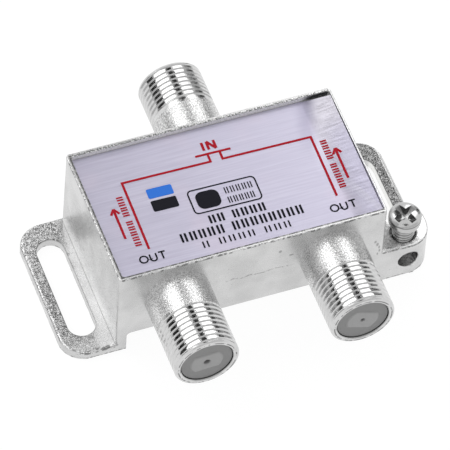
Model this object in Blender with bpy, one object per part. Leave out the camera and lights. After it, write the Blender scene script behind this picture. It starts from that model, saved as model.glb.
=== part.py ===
"""Two-way coaxial splitter with power pass.

A die-cast housing with three ports, slotted ears, end feet and a ground block, with its foil
label, its ground screw, and the circuit behind a sheet bottom cover. X runs along the housing,
the input port faces +Y, the two outputs face -Y, and the ears lie on Z = 0.
"""

import math

import bmesh
import bpy
from mathutils import Matrix, Vector

MM = 0.001
QUARTER = math.pi / 2
FULL = 2 * math.pi

# Fits
SEAT_GAP = 0.25 * MM  # between a piece and what it rests on or sits in
CUT_OVERRUN = 1.0 * MM  # how far a cutter runs past the face that it opens
EMBED = 0.3 * MM  # how far two shapes that become one piece run into each other
PLANE_OFFSET = 0.02 * MM  # keeps two walls of one casting from lying in exactly one plane

# Housing body
BODY_LENGTH = 39.6 * MM
BODY_WIDTH = 23.2 * MM
BODY_HEIGHT = 16.2 * MM
BODY_OFFSET = 0.3 * MM  # how far the body stands to the left of the middle of ports and ears
BODY_CORNER_RADIUS = 0.6 * MM
DRAFT_SLOPE = 0.0093  # how much each wall leans inwards for its height
EDGE_BREAK = 0.2 * MM
FOOT_HEIGHT = 3.5 * MM  # lower edge of the front and back walls
FOOT_CORNER_RADIUS = 0.6 * MM
END_WALL = 1.6 * MM
SIDE_WALL = 1.6 * MM
ROOF = 1.0 * MM
HOLLOW_CORNER_RADIUS = 1.0 * MM

# Recess in the top and the label in it
RIM_WIDTH = 0.6 * MM
RECESS_DEPTH = 0.95 * MM
RECESS_CORNER_RADIUS = 0.4 * MM
LABEL_THICKNESS = 0.2 * MM
CURL_LENGTH = 3.7 * MM  # stretch at the label's right end that lifts off the floor
CURL_DROP = 0.15 * MM  # how far the lifted edge stays below the rim

# Ears
EAR_THICKNESS = 1.4 * MM
EAR_CORNER_RADIUS = 3.5 * MM
SLOT_TO_BODY = 1.6 * MM
SLOT_WIDTH = 4.0 * MM
SLOT_RIM = 1.9 * MM  # material outside the slot
SLOT_LENGTH = 17.1 * MM

# Ground block
BLOCK_HEIGHT = 6.4 * MM
BLOCK_DEPTH = 5.7 * MM
BLOCK_SETBACK = 0.2 * MM  # how far its outer end stands behind the ear's
BLOCK_FRONT_RADIUS = 3.3 * MM
BLOCK_BACK_RADIUS = 0.8 * MM
BLOCK_TO_SLOT = 1.0 * MM
WIRE_HOLE_RADIUS = 1.55 * MM
WIRE_HOLE_HEIGHT = 3.3 * MM

# Ground screw
SHANK_RADIUS = 1.6 * MM
SHANK_CLEARANCE = 0.2 * MM
SHANK_CHAMFER = 0.4 * MM
SCREW_TO_FRONT = 2.75 * MM  # from the block's front face to the screw's axis
SCREW_LIFT = 2.5 * MM  # from the block to the underside of the head
HEAD_RADIUS = 2.42 * MM
HEAD_SIDE = 0.9 * MM
HEAD_CHAMFER = 0.25 * MM
HEAD_DOME = 0.75 * MM
CROSS_WIDTH = 0.75 * MM
CROSS_LENGTH = 3.4 * MM
CROSS_DEPTH = 1.1 * MM

# Ports
PORT_HEIGHT = 9.8 * MM
PORT_REACH = 23.75 * MM  # from the middle of the housing to the mouth
PORT_PITCH = 22.8 * MM  # between the two outputs
PORT_RADIUS = 4.73 * MM  # over the thread's crests
MOUTH_ROUNDING = 0.75 * MM
MOUTH_RADIUS = 3.8 * MM
MOUTH_DEPTH = 2.6 * MM
BORE_RADIUS = 3.0 * MM

# Insulators
FACE_RECESS = 0.3 * MM  # from the mouth to the ring around the raised face
FACE_WALL = 1.4 * MM
PLATEAU_RADIUS = 2.5 * MM
PLATEAU_HALF_FLAT = 1.75 * MM
PLATEAU_RISE = 0.15 * MM
PIN_HOLE_RADIUS = 0.55 * MM
PIN_HOLE_FLARE = 0.1 * MM
INPUT_TURN = 0.0
LEFT_OUTPUT_TURN = math.radians(3.7)  # the plugs sit a little turned in their bores
RIGHT_OUTPUT_TURN = math.radians(-22.7)

# Contacts
CONTACT_RADIUS = 1.05 * MM
CONTACT_WALL = 0.5 * MM
CONTACT_BASE = 0.8 * MM
SLIT_WIDTH = 0.3 * MM
SLIT_LENGTH = 5.0 * MM
TAIL_WIDTH = 1.2 * MM
TAIL_THICKNESS = 0.3 * MM
TAIL_LENGTH = 3.0 * MM

# Bottom cover and its seat
POCKET_INSET = 0.3 * MM
SEAT_STEP = 0.7 * MM
SEAT_DEPTH = 1.2 * MM
COVER_THICKNESS = 0.6 * MM
COVER_CORNER_RADIUS = 1.4 * MM

# Circuit board
BOARD_THICKNESS = 0.8 * MM
BOARD_MARGIN = 0.4 * MM
BOARD_CORNER_RADIUS = 0.6 * MM
LEDGE_DEPTH = 1.3 * MM
LEDGE_WIDTH = 8.0 * MM

# Leads through the board
LEAD_RADIUS = 0.25 * MM
LEAD_CLEARANCE = 0.2 * MM
LEAD_STUB = 0.3 * MM
LEAD_BEND = 0.5 * MM

# Two-hole cores
CORE_LENGTH = 4.4 * MM
CORE_DEPTH = 3.6 * MM
CORE_HEIGHT = 3.0 * MM
CORE_EDGE_RADIUS = 1.0 * MM
CORE_HOLE_PITCH = 2.0 * MM
CORE_SPACING = 0.8 * MM  # between the two cores
WIRE_BUNDLE_RADIUS = 0.4 * MM
WIRE_OVERHANG = 0.5 * MM
WIRE_CORNER_RADIUS = 0.7 * MM

# Chokes
CHOKE_TO_END = 4.4 * MM
DRUM_RADIUS = 1.7 * MM
DRUM_HEIGHT = 3.6 * MM
DRUM_FLANGE = 0.5 * MM
DRUM_WAIST = 0.8 * MM
COIL_RADIUS = 1.5 * MM
COIL_GROOVE = 0.12 * MM
COIL_TURNS = 6

# Diodes
DIODE_RADIUS = 0.9 * MM
DIODE_LENGTH = 3.2 * MM
DIODE_SPAN = 5.6 * MM
DIODE_TO_END = 5.2 * MM
DIODE_TO_SIDE = 3.6 * MM

# Isolation resistor
RESISTOR_RADIUS = 0.8 * MM
RESISTOR_WAIST = 0.62 * MM
RESISTOR_CAP = 0.7 * MM
RESISTOR_LENGTH = 3.4 * MM
RESISTOR_SPAN = 6.0 * MM
RESISTOR_TO_SIDE = 2.7 * MM

# Disc capacitors
DISC_RADIUS = 1.7 * MM
DISC_THICKNESS = 1.1 * MM
DISC_STAND_OFF = 0.5 * MM
DISC_LEAD_PITCH = 2.0 * MM
DISC_IN_X = 2.7 * MM
DISC_IN_TO_SIDE = 3.0 * MM
DISC_OUT_X = 7.2 * MM
DISC_OUT_TO_SIDE = 4.6 * MM

# Facets
ROUND_STEPS = 48
SMALL_STEPS = 24
TINY_STEPS = 12
LEAD_STEPS = 8
CORNER_STEPS = 6
BEND_STEPS = 4
SMOOTH_ANGLE = math.radians(35)
MERGE_DISTANCE = 0.0001 * MM

# Each finish is a base colour, a roughness and a metallic value
FINISHES = {
    "cast": ((0.72, 0.72, 0.69), 0.34, 1.0),
    "foil": ((0.60, 0.58, 0.68), 0.38, 0.6),
    "screw": ((0.80, 0.80, 0.80), 0.18, 1.0),
    "plug": ((0.25, 0.25, 0.25), 0.50, 0.0),
    "contact": ((0.83, 0.68, 0.36), 0.25, 1.0),
    "sheet": ((0.62, 0.63, 0.64), 0.35, 1.0),
    "board": ((0.55, 0.42, 0.20), 0.60, 0.0),
    "ferrite": ((0.06, 0.06, 0.065), 0.70, 0.0),
    "wire": ((0.62, 0.24, 0.10), 0.30, 1.0),
    "diode": ((0.04, 0.04, 0.045), 0.40, 0.0),
    "resistor": ((0.66, 0.55, 0.40), 0.45, 0.0),
    "capacitor": ((0.62, 0.34, 0.12), 0.50, 0.0),
}

# Planes and lengths that several pieces share
recess_floor = BODY_HEIGHT - RECESS_DEPTH
ceiling = recess_floor - ROOF
recess_inset = DRAFT_SLOPE * BODY_HEIGHT + RIM_WIDTH
ear_reach = BODY_LENGTH / 2 + SLOT_TO_BODY + SLOT_WIDTH + SLOT_RIM
screw_x = ear_reach - SLOT_RIM - SLOT_WIDTH / 2
screw_y = SCREW_TO_FRONT - BODY_WIDTH / 2
screw_tip = WIRE_HOLE_HEIGHT + WIRE_HOLE_RADIUS  # level with the top of the wire hole
block_back = BLOCK_DEPTH - BODY_WIDTH / 2
board_bottom = PORT_HEIGHT + TAIL_THICKNESS / 2 + SEAT_GAP
board_top = board_bottom + BOARD_THICKNESS
lead_top = BOARD_THICKNESS + LEAD_STUB
pocket_half_length = BODY_LENGTH / 2 - END_WALL - POCKET_INSET
pocket_half_width = BODY_WIDTH / 2 - SIDE_WALL + SEAT_STEP
hollow_half_length = pocket_half_length - SEAT_STEP
hollow_half_width = pocket_half_width - SEAT_STEP
board_half_length = hollow_half_length - DRAFT_SLOPE * board_top - BOARD_MARGIN
board_half_width = hollow_half_width - DRAFT_SLOPE * board_top - BOARD_MARGIN
bore_length = PORT_REACH - hollow_half_width
core_x = (CORE_LENGTH + CORE_SPACING) / 2


def clear_scene():
    for obj in list(bpy.data.objects):
        bpy.data.objects.remove(obj, do_unlink=True)


def make_material(name, finish):
    colour, roughness, metallic = FINISHES[finish]
    material = bpy.data.materials.new(name)
    material.use_nodes = True
    shader = material.node_tree.nodes["Principled BSDF"]
    shader.inputs["Base Color"].default_value = (*colour, 1.0)
    shader.inputs["Roughness"].default_value = roughness
    shader.inputs["Metallic"].default_value = metallic
    material.diffuse_color = (*colour, 1.0)
    return material


def add_object(name, bm, parent=None):
    """A new object from a closed bmesh, with its faces pointing out."""
    bmesh.ops.recalc_face_normals(bm, faces=bm.faces)
    mesh = bpy.data.meshes.new(name)
    bm.to_mesh(mesh)
    bm.free()
    mesh.shade_smooth()
    mesh.set_sharp_from_angle(angle=SMOOTH_ANGLE)
    obj = bpy.data.objects.new(name, mesh)
    bpy.context.collection.objects.link(obj)
    obj.parent = parent
    return obj


def add_piece(name, bm, finish, location=(0, 0, 0), parent=None, turn=0.0):
    piece = add_object(name, bm, parent)
    piece.location = location
    piece.rotation_euler = (0, 0, turn)
    piece.data.materials.append(make_material(name, finish))
    return piece


def combine(piece, operation, label, bm, parent=None):
    """Joins a shape to the piece or cuts it out. The shape is in the frame of its parent."""
    tool = add_object(f"{piece.name}_{label}", bm, parent or piece)
    tool.hide_render = True
    tool.display_type = "WIRE"
    modifier = piece.modifiers.new(label, "BOOLEAN")
    modifier.operation = operation
    modifier.solver = "EXACT"
    modifier.object = tool


def arc(centre, radius, start, end, steps=CORNER_STEPS):
    """Points on an arc from the start angle to the end angle, both ends included."""
    angles = [start + (end - start) * step / steps for step in range(steps + 1)]
    return [(centre[0] + radius * math.cos(a), centre[1] + radius * math.sin(a)) for a in angles]


def circle(centre, radius, steps):
    return arc(centre, radius, 0.0, FULL, steps)[:-1]


def rectangle(length, width, radius):
    """A rounded rectangle around the origin, counter-clockwise."""
    x, y = length / 2 - radius, width / 2 - radius
    points = []
    for turn, centre in enumerate(((x, y), (-x, y), (-x, -y), (x, -y))):
        points += arc(centre, radius, turn * QUARTER, (turn + 1) * QUARTER)
    return points


def loft(sections, plane="XY"):
    """A closed shape through outlines of equal point count, each given as (height, outline)."""
    place = {
        "XY": lambda u, v, w: (u, v, w),
        "XZ": lambda u, v, w: (u, w, v),
    }[plane]
    bm = bmesh.new()
    rings = [[bm.verts.new(place(u, v, w)) for u, v in outline] for w, outline in sections]
    for lower, upper in zip(rings, rings[1:]):
        for i, vert in enumerate(lower):
            bm.faces.new((lower[i - 1], vert, upper[i], upper[i - 1]))
    bm.faces.new(rings[0])
    bm.faces.new(rings[-1])
    bmesh.ops.remove_doubles(bm, verts=bm.verts, dist=MERGE_DISTANCE)
    return bm


def prism(outline, low, high, plane="XY"):
    return loft([(low, outline), (high, outline)], plane)


def box(size, centre):
    bm = bmesh.new()
    bmesh.ops.create_cube(bm, size=1.0, matrix=Matrix.Diagonal((*size, 1.0)))
    bmesh.ops.translate(bm, verts=bm.verts, vec=centre)
    return bm


def turned(profile, steps):
    """A profile of (radius, height) points turned about Z, closed on the axis or in itself."""
    bm = bmesh.new()
    verts = [bm.verts.new((radius, 0, height)) for radius, height in profile]
    edges = [bm.edges.new(pair) for pair in zip(verts, verts[1:])]
    if profile[0][0] > 0:
        edges.append(bm.edges.new((verts[-1], verts[0])))
    bmesh.ops.spin(
        bm,
        geom=verts + edges,
        cent=(0, 0, 0),
        axis=(0, 0, 1),
        angle=FULL,
        steps=steps,
        use_merge=True,
    )
    bmesh.ops.remove_doubles(bm, verts=bm.verts, dist=MERGE_DISTANCE)
    return bm


def tipped(bm, axis):
    """The shape with its Z axis turned a quarter about X or Y."""
    bmesh.ops.rotate(bm, verts=bm.verts, cent=(0, 0, 0), matrix=Matrix.Rotation(QUARTER, 3, axis))
    return bm


def bar(path, radius, closed=False):
    """A round bar along a path of points, with flat ends or joined into a ring."""
    points = [Vector(point) for point in path]
    last = len(points) - 1
    bm = bmesh.new()
    rings = []
    normal = (points[1] - points[0]).orthogonal()
    for i, point in enumerate(points):
        before = points[i - 1] if closed or i > 0 else point
        after = points[(i + 1) % len(points)] if closed or i < last else point
        along = (after - before).normalized()
        normal = (normal - along * normal.dot(along)).normalized()
        across = along.cross(normal)
        ring = circle((0, 0), radius, LEAD_STEPS)
        rings.append([bm.verts.new(point + u * normal + v * across) for u, v in ring])
    following = rings[1:] + rings[:1] if closed else rings[1:]
    for first, second in zip(rings, following):
        for i, vert in enumerate(first):
            bm.faces.new((first[i - 1], vert, second[i], second[i - 1]))
    if not closed:
        bm.faces.new(rings[0])
        bm.faces.new(rings[-1])
    return bm


def drafted(outline_at, top):
    """A wall that leans inwards as it rises, with its top edge broken."""
    levels = [(0.0, 0.0), (top - EDGE_BREAK, 0.0), (top, EDGE_BREAK)]
    return loft([(height, outline_at(inset + DRAFT_SLOPE * height)) for height, inset in levels])


def body_outline(inset):
    return rectangle(BODY_LENGTH - 2 * inset, BODY_WIDTH - 2 * inset, BODY_CORNER_RADIUS)


def ears_outline(inset):
    inset += PLANE_OFFSET
    return rectangle(2 * (ear_reach - inset), BODY_WIDTH - 2 * inset, EAR_CORNER_RADIUS)


def block_outline(inset):
    """The ground block in plan: square to the body, with a large corner at the outer front."""
    left = (BODY_LENGTH - END_WALL) / 2
    right = ear_reach - BLOCK_SETBACK - inset
    front = 2 * PLANE_OFFSET + inset - BODY_WIDTH / 2
    back = block_back - inset
    front_corner = (right - BLOCK_FRONT_RADIUS, front + BLOCK_FRONT_RADIUS)
    back_corner = (right - BLOCK_BACK_RADIUS, back - BLOCK_BACK_RADIUS)
    points = [(left, front)]
    points += arc(front_corner, BLOCK_FRONT_RADIUS, -QUARTER, 0.0)
    points += arc(back_corner, BLOCK_BACK_RADIUS, 0.0, QUARTER)
    return points + [(left, back)]


def barrel():
    """A port's outside, with its mouth at the origin and the way out along +Z."""
    root = (BODY_WIDTH - SIDE_WALL) / 2 - PORT_REACH
    corner = (PORT_RADIUS - MOUTH_ROUNDING, -MOUTH_ROUNDING)
    profile = [(0.0, root), (PORT_RADIUS, root)]
    profile += arc(corner, MOUTH_ROUNDING, 0.0, QUARTER)
    return turned(profile + [(0.0, 0.0)], ROUND_STEPS)


def port_bore():
    inner_end = -bore_length - CUT_OVERRUN
    profile = [(0.0, inner_end), (BORE_RADIUS, inner_end), (BORE_RADIUS, -MOUTH_DEPTH)]
    profile += [(MOUTH_RADIUS, -MOUTH_DEPTH), (MOUTH_RADIUS, CUT_OVERRUN), (0.0, CUT_OVERRUN)]
    return turned(profile, ROUND_STEPS)


def add_frame(name, location, tilt=0.0):
    """An empty that shapes are placed by, turned about X."""
    frame = bpy.data.objects.new(f"{name}_frame", None)
    bpy.context.collection.objects.link(frame)
    frame.location = location
    frame.rotation_euler = (tilt, 0, 0)
    return frame


def add_port_axes():
    """A frame at each port's mouth, with +Z along the way out."""
    places = {
        "in": (0.0, PORT_REACH, -QUARTER),
        "out_left": (-PORT_PITCH / 2, -PORT_REACH, QUARTER),
        "out_right": (PORT_PITCH / 2, -PORT_REACH, QUARTER),
    }
    return {
        name: add_frame(f"port_{name}", (x, y, PORT_HEIGHT), tilt)
        for name, (x, y, tilt) in places.items()
    }


def foot_gap():
    """The space between the two feet, right through from front to back."""
    half = BODY_LENGTH / 2 - END_WALL
    x, z = half - FOOT_CORNER_RADIUS, FOOT_HEIGHT - FOOT_CORNER_RADIUS
    outline = [(-half, -CUT_OVERRUN), (half, -CUT_OVERRUN)]
    outline += arc((x, z), FOOT_CORNER_RADIUS, 0.0, QUARTER)
    outline += arc((-x, z), FOOT_CORNER_RADIUS, QUARTER, 2 * QUARTER)
    reach = BODY_WIDTH / 2 + CUT_OVERRUN
    return prism(outline, -reach, reach, "XZ")


def cover_pocket():
    outline = rectangle(2 * pocket_half_length, 2 * pocket_half_width, COVER_CORNER_RADIUS)
    return prism(outline, FOOT_HEIGHT - CUT_OVERRUN, FOOT_HEIGHT + SEAT_DEPTH)


def hollow():
    """The space for the circuit, which narrows towards the roof with the walls."""
    sections = []
    for height in (FOOT_HEIGHT, ceiling):
        inset = DRAFT_SLOPE * height
        length, width = 2 * (hollow_half_length - inset), 2 * (hollow_half_width - inset)
        sections.append((height, rectangle(length, width, HOLLOW_CORNER_RADIUS)))
    return loft(sections)


def label_recess():
    length, width = BODY_LENGTH - 2 * recess_inset, BODY_WIDTH - 2 * recess_inset
    outline = rectangle(length, width, RECESS_CORNER_RADIUS)
    return prism(outline, recess_floor, BODY_HEIGHT + CUT_OVERRUN)


def slot(x, front, back):
    radius = SLOT_WIDTH / 2
    outline = arc((x, back - radius), radius, 0.0, 2 * QUARTER, TINY_STEPS)
    outline += arc((x, front + radius), radius, 2 * QUARTER, FULL, TINY_STEPS)
    return prism(outline, -CUT_OVERRUN, EAR_THICKNESS + CUT_OVERRUN)


def wire_hole():
    outline = circle((screw_x, WIRE_HOLE_HEIGHT), WIRE_HOLE_RADIUS, SMALL_STEPS)
    return prism(outline, -BODY_WIDTH / 2 - CUT_OVERRUN, block_back + CUT_OVERRUN, "XZ")


def screw_hole():
    """Deep enough for the tip when the screw is run in until its head nears the block."""
    outline = circle((screw_x, screw_y), SHANK_RADIUS + SHANK_CLEARANCE, SMALL_STEPS)
    return prism(outline, screw_tip - SCREW_LIFT, BLOCK_HEIGHT + CUT_OVERRUN)


def ledge(side):
    """A cast ledge that the circuit board bears on, at one end of the hollow."""
    low, high = board_top + SEAT_GAP, ceiling + EMBED
    inner, outer = hollow_half_length - LEDGE_DEPTH, hollow_half_length + EMBED
    centre = (side * (inner + outer) / 2, 0.0, (low + high) / 2)
    return box((outer - inner, LEDGE_WIDTH, high - low), centre)


def add_housing(body, base, axes):
    """The casting. Its ears, block, slots and holes are placed from the base, as the ports are."""
    housing = add_piece("housing", drafted(body_outline, BODY_HEIGHT), "cast", parent=body)
    combine(housing, "UNION", "ears", drafted(ears_outline, EAR_THICKNESS), base)
    combine(housing, "UNION", "ground_block", drafted(block_outline, BLOCK_HEIGHT), base)
    for name, axis in axes.items():
        combine(housing, "UNION", f"barrel_{name}", barrel(), axis)
    slot_end = SLOT_LENGTH / 2
    cutters = {
        "foot_gap": (foot_gap(), housing),
        "cover_pocket": (cover_pocket(), housing),
        "hollow": (hollow(), housing),
        "label_recess": (label_recess(), housing),
        "slot_left": (slot(-screw_x, -slot_end, slot_end), base),
        "slot_right": (slot(screw_x, block_back + BLOCK_TO_SLOT, slot_end), base),
        "wire_hole": (wire_hole(), base),
        "screw_hole": (screw_hole(), base),
    }
    for label, (cutter, parent) in cutters.items():
        combine(housing, "DIFFERENCE", label, cutter, parent)
    for name, axis in axes.items():
        combine(housing, "DIFFERENCE", f"bore_{name}", port_bore(), axis)
    for label, side in (("ledge_left", -1), ("ledge_right", 1)):
        combine(housing, "UNION", label, ledge(side))


def plateau(top):
    """The raised face of a plug: a disc with two flats."""
    angle = math.asin(PLATEAU_HALF_FLAT / PLATEAU_RADIUS)
    outline = arc((0, 0), PLATEAU_RADIUS, -angle, angle, TINY_STEPS)
    outline += arc((0, 0), PLATEAU_RADIUS, math.pi - angle, math.pi + angle, TINY_STEPS)
    return prism(outline, -FACE_RECESS - EMBED, top)


def pin_hole(top):
    bottom = -FACE_RECESS - FACE_WALL - CUT_OVERRUN
    flare_start = top - PIN_HOLE_FLARE
    mouth = PIN_HOLE_RADIUS + PIN_HOLE_FLARE + CUT_OVERRUN
    profile = [(0.0, bottom), (PIN_HOLE_RADIUS, bottom), (PIN_HOLE_RADIUS, flare_start)]
    profile += [(mouth, top + CUT_OVERRUN), (0.0, top + CUT_OVERRUN)]
    return turned(profile, TINY_STEPS)


def add_insulator(name, axis, turn):
    """The plastic plug of a port: a flanged sleeve, closed by a raised face with a pin hole."""
    face_back = -FACE_RECESS - FACE_WALL
    shoulder = SEAT_GAP - MOUTH_DEPTH
    chamber = CONTACT_RADIUS + SEAT_GAP
    sleeve = BORE_RADIUS - SEAT_GAP
    flange = MOUTH_RADIUS - SEAT_GAP
    profile = [(0.0, face_back), (chamber, face_back), (chamber, -bore_length)]
    profile += [(sleeve, -bore_length), (sleeve, shoulder), (flange, shoulder)]
    profile += [(flange, -FACE_RECESS), (0.0, -FACE_RECESS)]
    plug = add_piece(f"insulator_{name}", turned(profile, ROUND_STEPS), "plug", parent=axis, turn=turn)
    top = PLATEAU_RISE - FACE_RECESS
    combine(plug, "UNION", "plateau", plateau(top))
    combine(plug, "DIFFERENCE", "pin_hole", pin_hole(top))


def add_contact(name, axis):
    """A slit spring tube with a flat tail that reaches under the board."""
    front = -FACE_RECESS - FACE_WALL - SEAT_GAP
    back = -bore_length - SEAT_GAP
    inner = CONTACT_RADIUS - CONTACT_WALL
    base = back + CONTACT_BASE
    profile = [(0.0, back), (CONTACT_RADIUS, back), (CONTACT_RADIUS, front), (inner, front)]
    profile += [(inner, base), (0.0, base)]
    contact = add_piece(f"contact_{name}", turned(profile, SMALL_STEPS), "contact", parent=axis)
    slit_low, slit_high = front - SLIT_LENGTH, front + CUT_OVERRUN
    slit_size = (2 * CONTACT_RADIUS + CUT_OVERRUN, SLIT_WIDTH, slit_high - slit_low)
    slit = box(slit_size, (0, 0, (slit_low + slit_high) / 2))
    combine(contact, "DIFFERENCE", "slit", slit)
    tail_size = (TAIL_WIDTH, TAIL_THICKNESS, TAIL_LENGTH + EMBED)
    combine(contact, "UNION", "tail", box(tail_size, (0, 0, back + (EMBED - TAIL_LENGTH) / 2)))


def add_label(body):
    """A foil strip that lies in the recess and curls up to the rim at its right end."""
    inset = recess_inset + SEAT_GAP
    end = BODY_LENGTH / 2 - inset
    rest = recess_floor + SEAT_GAP
    lift = BODY_HEIGHT - CURL_DROP - LABEL_THICKNESS - rest
    under = [(-end, rest)]
    for step in range(TINY_STEPS + 1):
        share = step / TINY_STEPS
        under.append((end - CURL_LENGTH * (1 - share), rest + lift * share**2 * (3 - 2 * share)))
    over = [(x, z + LABEL_THICKNESS) for x, z in reversed(under)]
    reach = BODY_WIDTH / 2 - inset
    add_piece("label", prism(under + over, -reach, reach, "XZ"), "foil", parent=body)


def add_ground_screw():
    """A pan-head screw, with its origin on its axis at the underside of the head."""
    head_base = BLOCK_HEIGHT + SCREW_LIFT
    tip = screw_tip - head_base
    shoulder = HEAD_CHAMFER + HEAD_SIDE
    top = shoulder + HEAD_DOME
    profile = [(0.0, tip), (SHANK_RADIUS - SHANK_CHAMFER, tip), (SHANK_RADIUS, tip + SHANK_CHAMFER)]
    profile += [(SHANK_RADIUS, 0.0), (HEAD_RADIUS - HEAD_CHAMFER, 0.0), (HEAD_RADIUS, HEAD_CHAMFER)]
    for radius, height in arc((0, 0), 1.0, 0.0, QUARTER)[:-1]:
        profile.append((HEAD_RADIUS * radius, shoulder + HEAD_DOME * height))
    profile.append((0.0, top))
    place = (screw_x, screw_y, head_base)
    screw = add_piece("ground_screw", turned(profile, SMALL_STEPS), "screw", place)
    middle = (0, 0, top + (CUT_OVERRUN - CROSS_DEPTH) / 2)
    depth = CROSS_DEPTH + CUT_OVERRUN
    combine(screw, "DIFFERENCE", "cross_x", box((CROSS_LENGTH, CROSS_WIDTH, depth), middle))
    combine(screw, "DIFFERENCE", "cross_y", box((CROSS_WIDTH, CROSS_LENGTH, depth), middle))


def add_bottom_cover(body):
    half_length = pocket_half_length - SEAT_GAP
    half_width = pocket_half_width - SEAT_GAP
    outline = rectangle(2 * half_length, 2 * half_width, COVER_CORNER_RADIUS - SEAT_GAP)
    top = FOOT_HEIGHT + SEAT_DEPTH - SEAT_GAP
    add_piece("bottom_cover", prism(outline, top - COVER_THICKNESS, top), "sheet", parent=body)


def leaded_parts():
    """Where each leaded part stands under the board, and how far apart its two leads are in X."""
    diode_x = hollow_half_length - DIODE_TO_END
    diode_y = hollow_half_width - DIODE_TO_SIDE
    resistor_y = RESISTOR_TO_SIDE - hollow_half_width
    disc_in_y = hollow_half_width - DISC_IN_TO_SIDE
    disc_out_y = DISC_OUT_TO_SIDE - hollow_half_width
    return {
        "diode_left": (-diode_x, diode_y, DIODE_SPAN),
        "diode_right": (diode_x, diode_y, DIODE_SPAN),
        "isolation_resistor": (0.0, resistor_y, RESISTOR_SPAN),
        "capacitor_in": (DISC_IN_X, disc_in_y, DISC_LEAD_PITCH),
        "capacitor_out_left": (-DISC_OUT_X, disc_out_y, DISC_LEAD_PITCH),
        "capacitor_out_right": (DISC_OUT_X, disc_out_y, DISC_LEAD_PITCH),
    }


def add_board(body, parts):
    outline = rectangle(2 * board_half_length, 2 * board_half_width, BOARD_CORNER_RADIUS)
    board = add_piece("circuit_board", prism(outline, board_bottom, board_top), "board", parent=body)
    radius = LEAD_RADIUS + LEAD_CLEARANCE
    for name, (x, y, span) in parts.items():
        for label, side in (("left", -1), ("right", 1)):
            hole = circle((x + side * span / 2, y), radius, LEAD_STEPS)
            cutter = prism(hole, board_bottom - CUT_OVERRUN, board_top + CUT_OVERRUN)
            combine(board, "DIFFERENCE", f"{name}_{label}", cutter)


def add_two_hole_core(body, name, x):
    """A two-hole ferrite core along Y, and the wire that loops through both its holes."""
    place = (x, 0.0, board_bottom - SEAT_GAP - CORE_HEIGHT / 2)
    half = CORE_DEPTH / 2
    outline = rectangle(CORE_LENGTH, CORE_HEIGHT, CORE_EDGE_RADIUS)
    core = add_piece(f"{name}_core", prism(outline, -half, half, "XZ"), "ferrite", place, body)
    reach = half + CUT_OVERRUN
    for label, side in (("left", -1), ("right", 1)):
        hole = circle((side * CORE_HOLE_PITCH / 2, 0.0), WIRE_BUNDLE_RADIUS + SEAT_GAP, TINY_STEPS)
        combine(core, "DIFFERENCE", f"hole_{label}", prism(hole, -reach, reach, "XZ"))
    loop = rectangle(CORE_HOLE_PITCH, CORE_DEPTH + 2 * WIRE_OVERHANG, WIRE_CORNER_RADIUS)
    wire = bar([(u, v, 0.0) for u, v in loop], WIRE_BUNDLE_RADIUS, closed=True)
    add_piece(f"{name}_winding", wire, "wire", place, body)


def add_choke(body, label, x):
    """A ferrite drum under the board, and the coil around its waist."""
    place = (x, 0.0, board_bottom)
    top = -SEAT_GAP
    bottom = top - DRUM_HEIGHT
    flange_top, flange_bottom = top - DRUM_FLANGE, bottom + DRUM_FLANGE
    profile = [(0.0, bottom), (DRUM_RADIUS, bottom), (DRUM_RADIUS, flange_bottom)]
    profile += [(DRUM_WAIST, flange_bottom), (DRUM_WAIST, flange_top)]
    profile += [(DRUM_RADIUS, flange_top), (DRUM_RADIUS, top), (0.0, top)]
    add_piece(f"choke_core_{label}", turned(profile, SMALL_STEPS), "ferrite", place, body)
    low, high = flange_bottom + SEAT_GAP, flange_top - SEAT_GAP
    coil = [(DRUM_WAIST + SEAT_GAP, high), (DRUM_WAIST + SEAT_GAP, low)]
    for step in range(2 * COIL_TURNS + 1):
        radius = COIL_RADIUS if step % 2 else COIL_RADIUS - COIL_GROOVE
        coil.append((radius, low + (high - low) * step / (2 * COIL_TURNS)))
    add_piece(f"choke_winding_{label}", turned(coil, SMALL_STEPS), "wire", place, body)


def bent_lead(half_span, height):
    """A lead along X that bends up through the board at both ends."""
    x, z = half_span - LEAD_BEND, height + LEAD_BEND
    path = [(-half_span, lead_top)]
    path += arc((-x, z), LEAD_BEND, 2 * QUARTER, 3 * QUARTER, BEND_STEPS)
    path += arc((x, z), LEAD_BEND, 3 * QUARTER, FULL, BEND_STEPS)
    path.append((half_span, lead_top))
    return bar([(x, 0.0, z) for x, z in path], LEAD_RADIUS)


def add_axial_part(body, name, place, profile, finish):
    """A body turned about X that hangs under the board by its bent lead."""
    x, y, span = place
    height = -SEAT_GAP - max(radius for radius, _ in profile)
    barrel_shape = tipped(turned(profile, TINY_STEPS), "Y")
    bmesh.ops.translate(barrel_shape, verts=barrel_shape.verts, vec=(0, 0, height))
    part = add_piece(name, barrel_shape, finish, (x, y, board_bottom), body)
    combine(part, "UNION", "lead", bent_lead(span / 2, height))


def add_disc_capacitor(body, name, place):
    """A lens-shaped disc that hangs under the board by two straight leads."""
    x, y, span = place
    middle = -DISC_STAND_OFF - DISC_RADIUS
    half = DISC_THICKNESS / 2
    profile = [(0.0, -half), (DISC_RADIUS - half, -half), (DISC_RADIUS, 0.0)]
    profile += [(DISC_RADIUS - half, half), (0.0, half)]
    disc = tipped(turned(profile, SMALL_STEPS), "X")
    bmesh.ops.translate(disc, verts=disc.verts, vec=(0, 0, middle))
    part = add_piece(name, disc, "capacitor", (x, y, board_bottom), body)
    for label, side in (("left", -1), ("right", 1)):
        lead_x = side * span / 2
        lead = bar([(lead_x, 0.0, middle), (lead_x, 0.0, lead_top)], LEAD_RADIUS)
        combine(part, "UNION", f"lead_{label}", lead)


def diode_profile():
    half = DIODE_LENGTH / 2
    return [(0.0, -half), (DIODE_RADIUS, -half), (DIODE_RADIUS, half), (0.0, half)]


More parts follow.
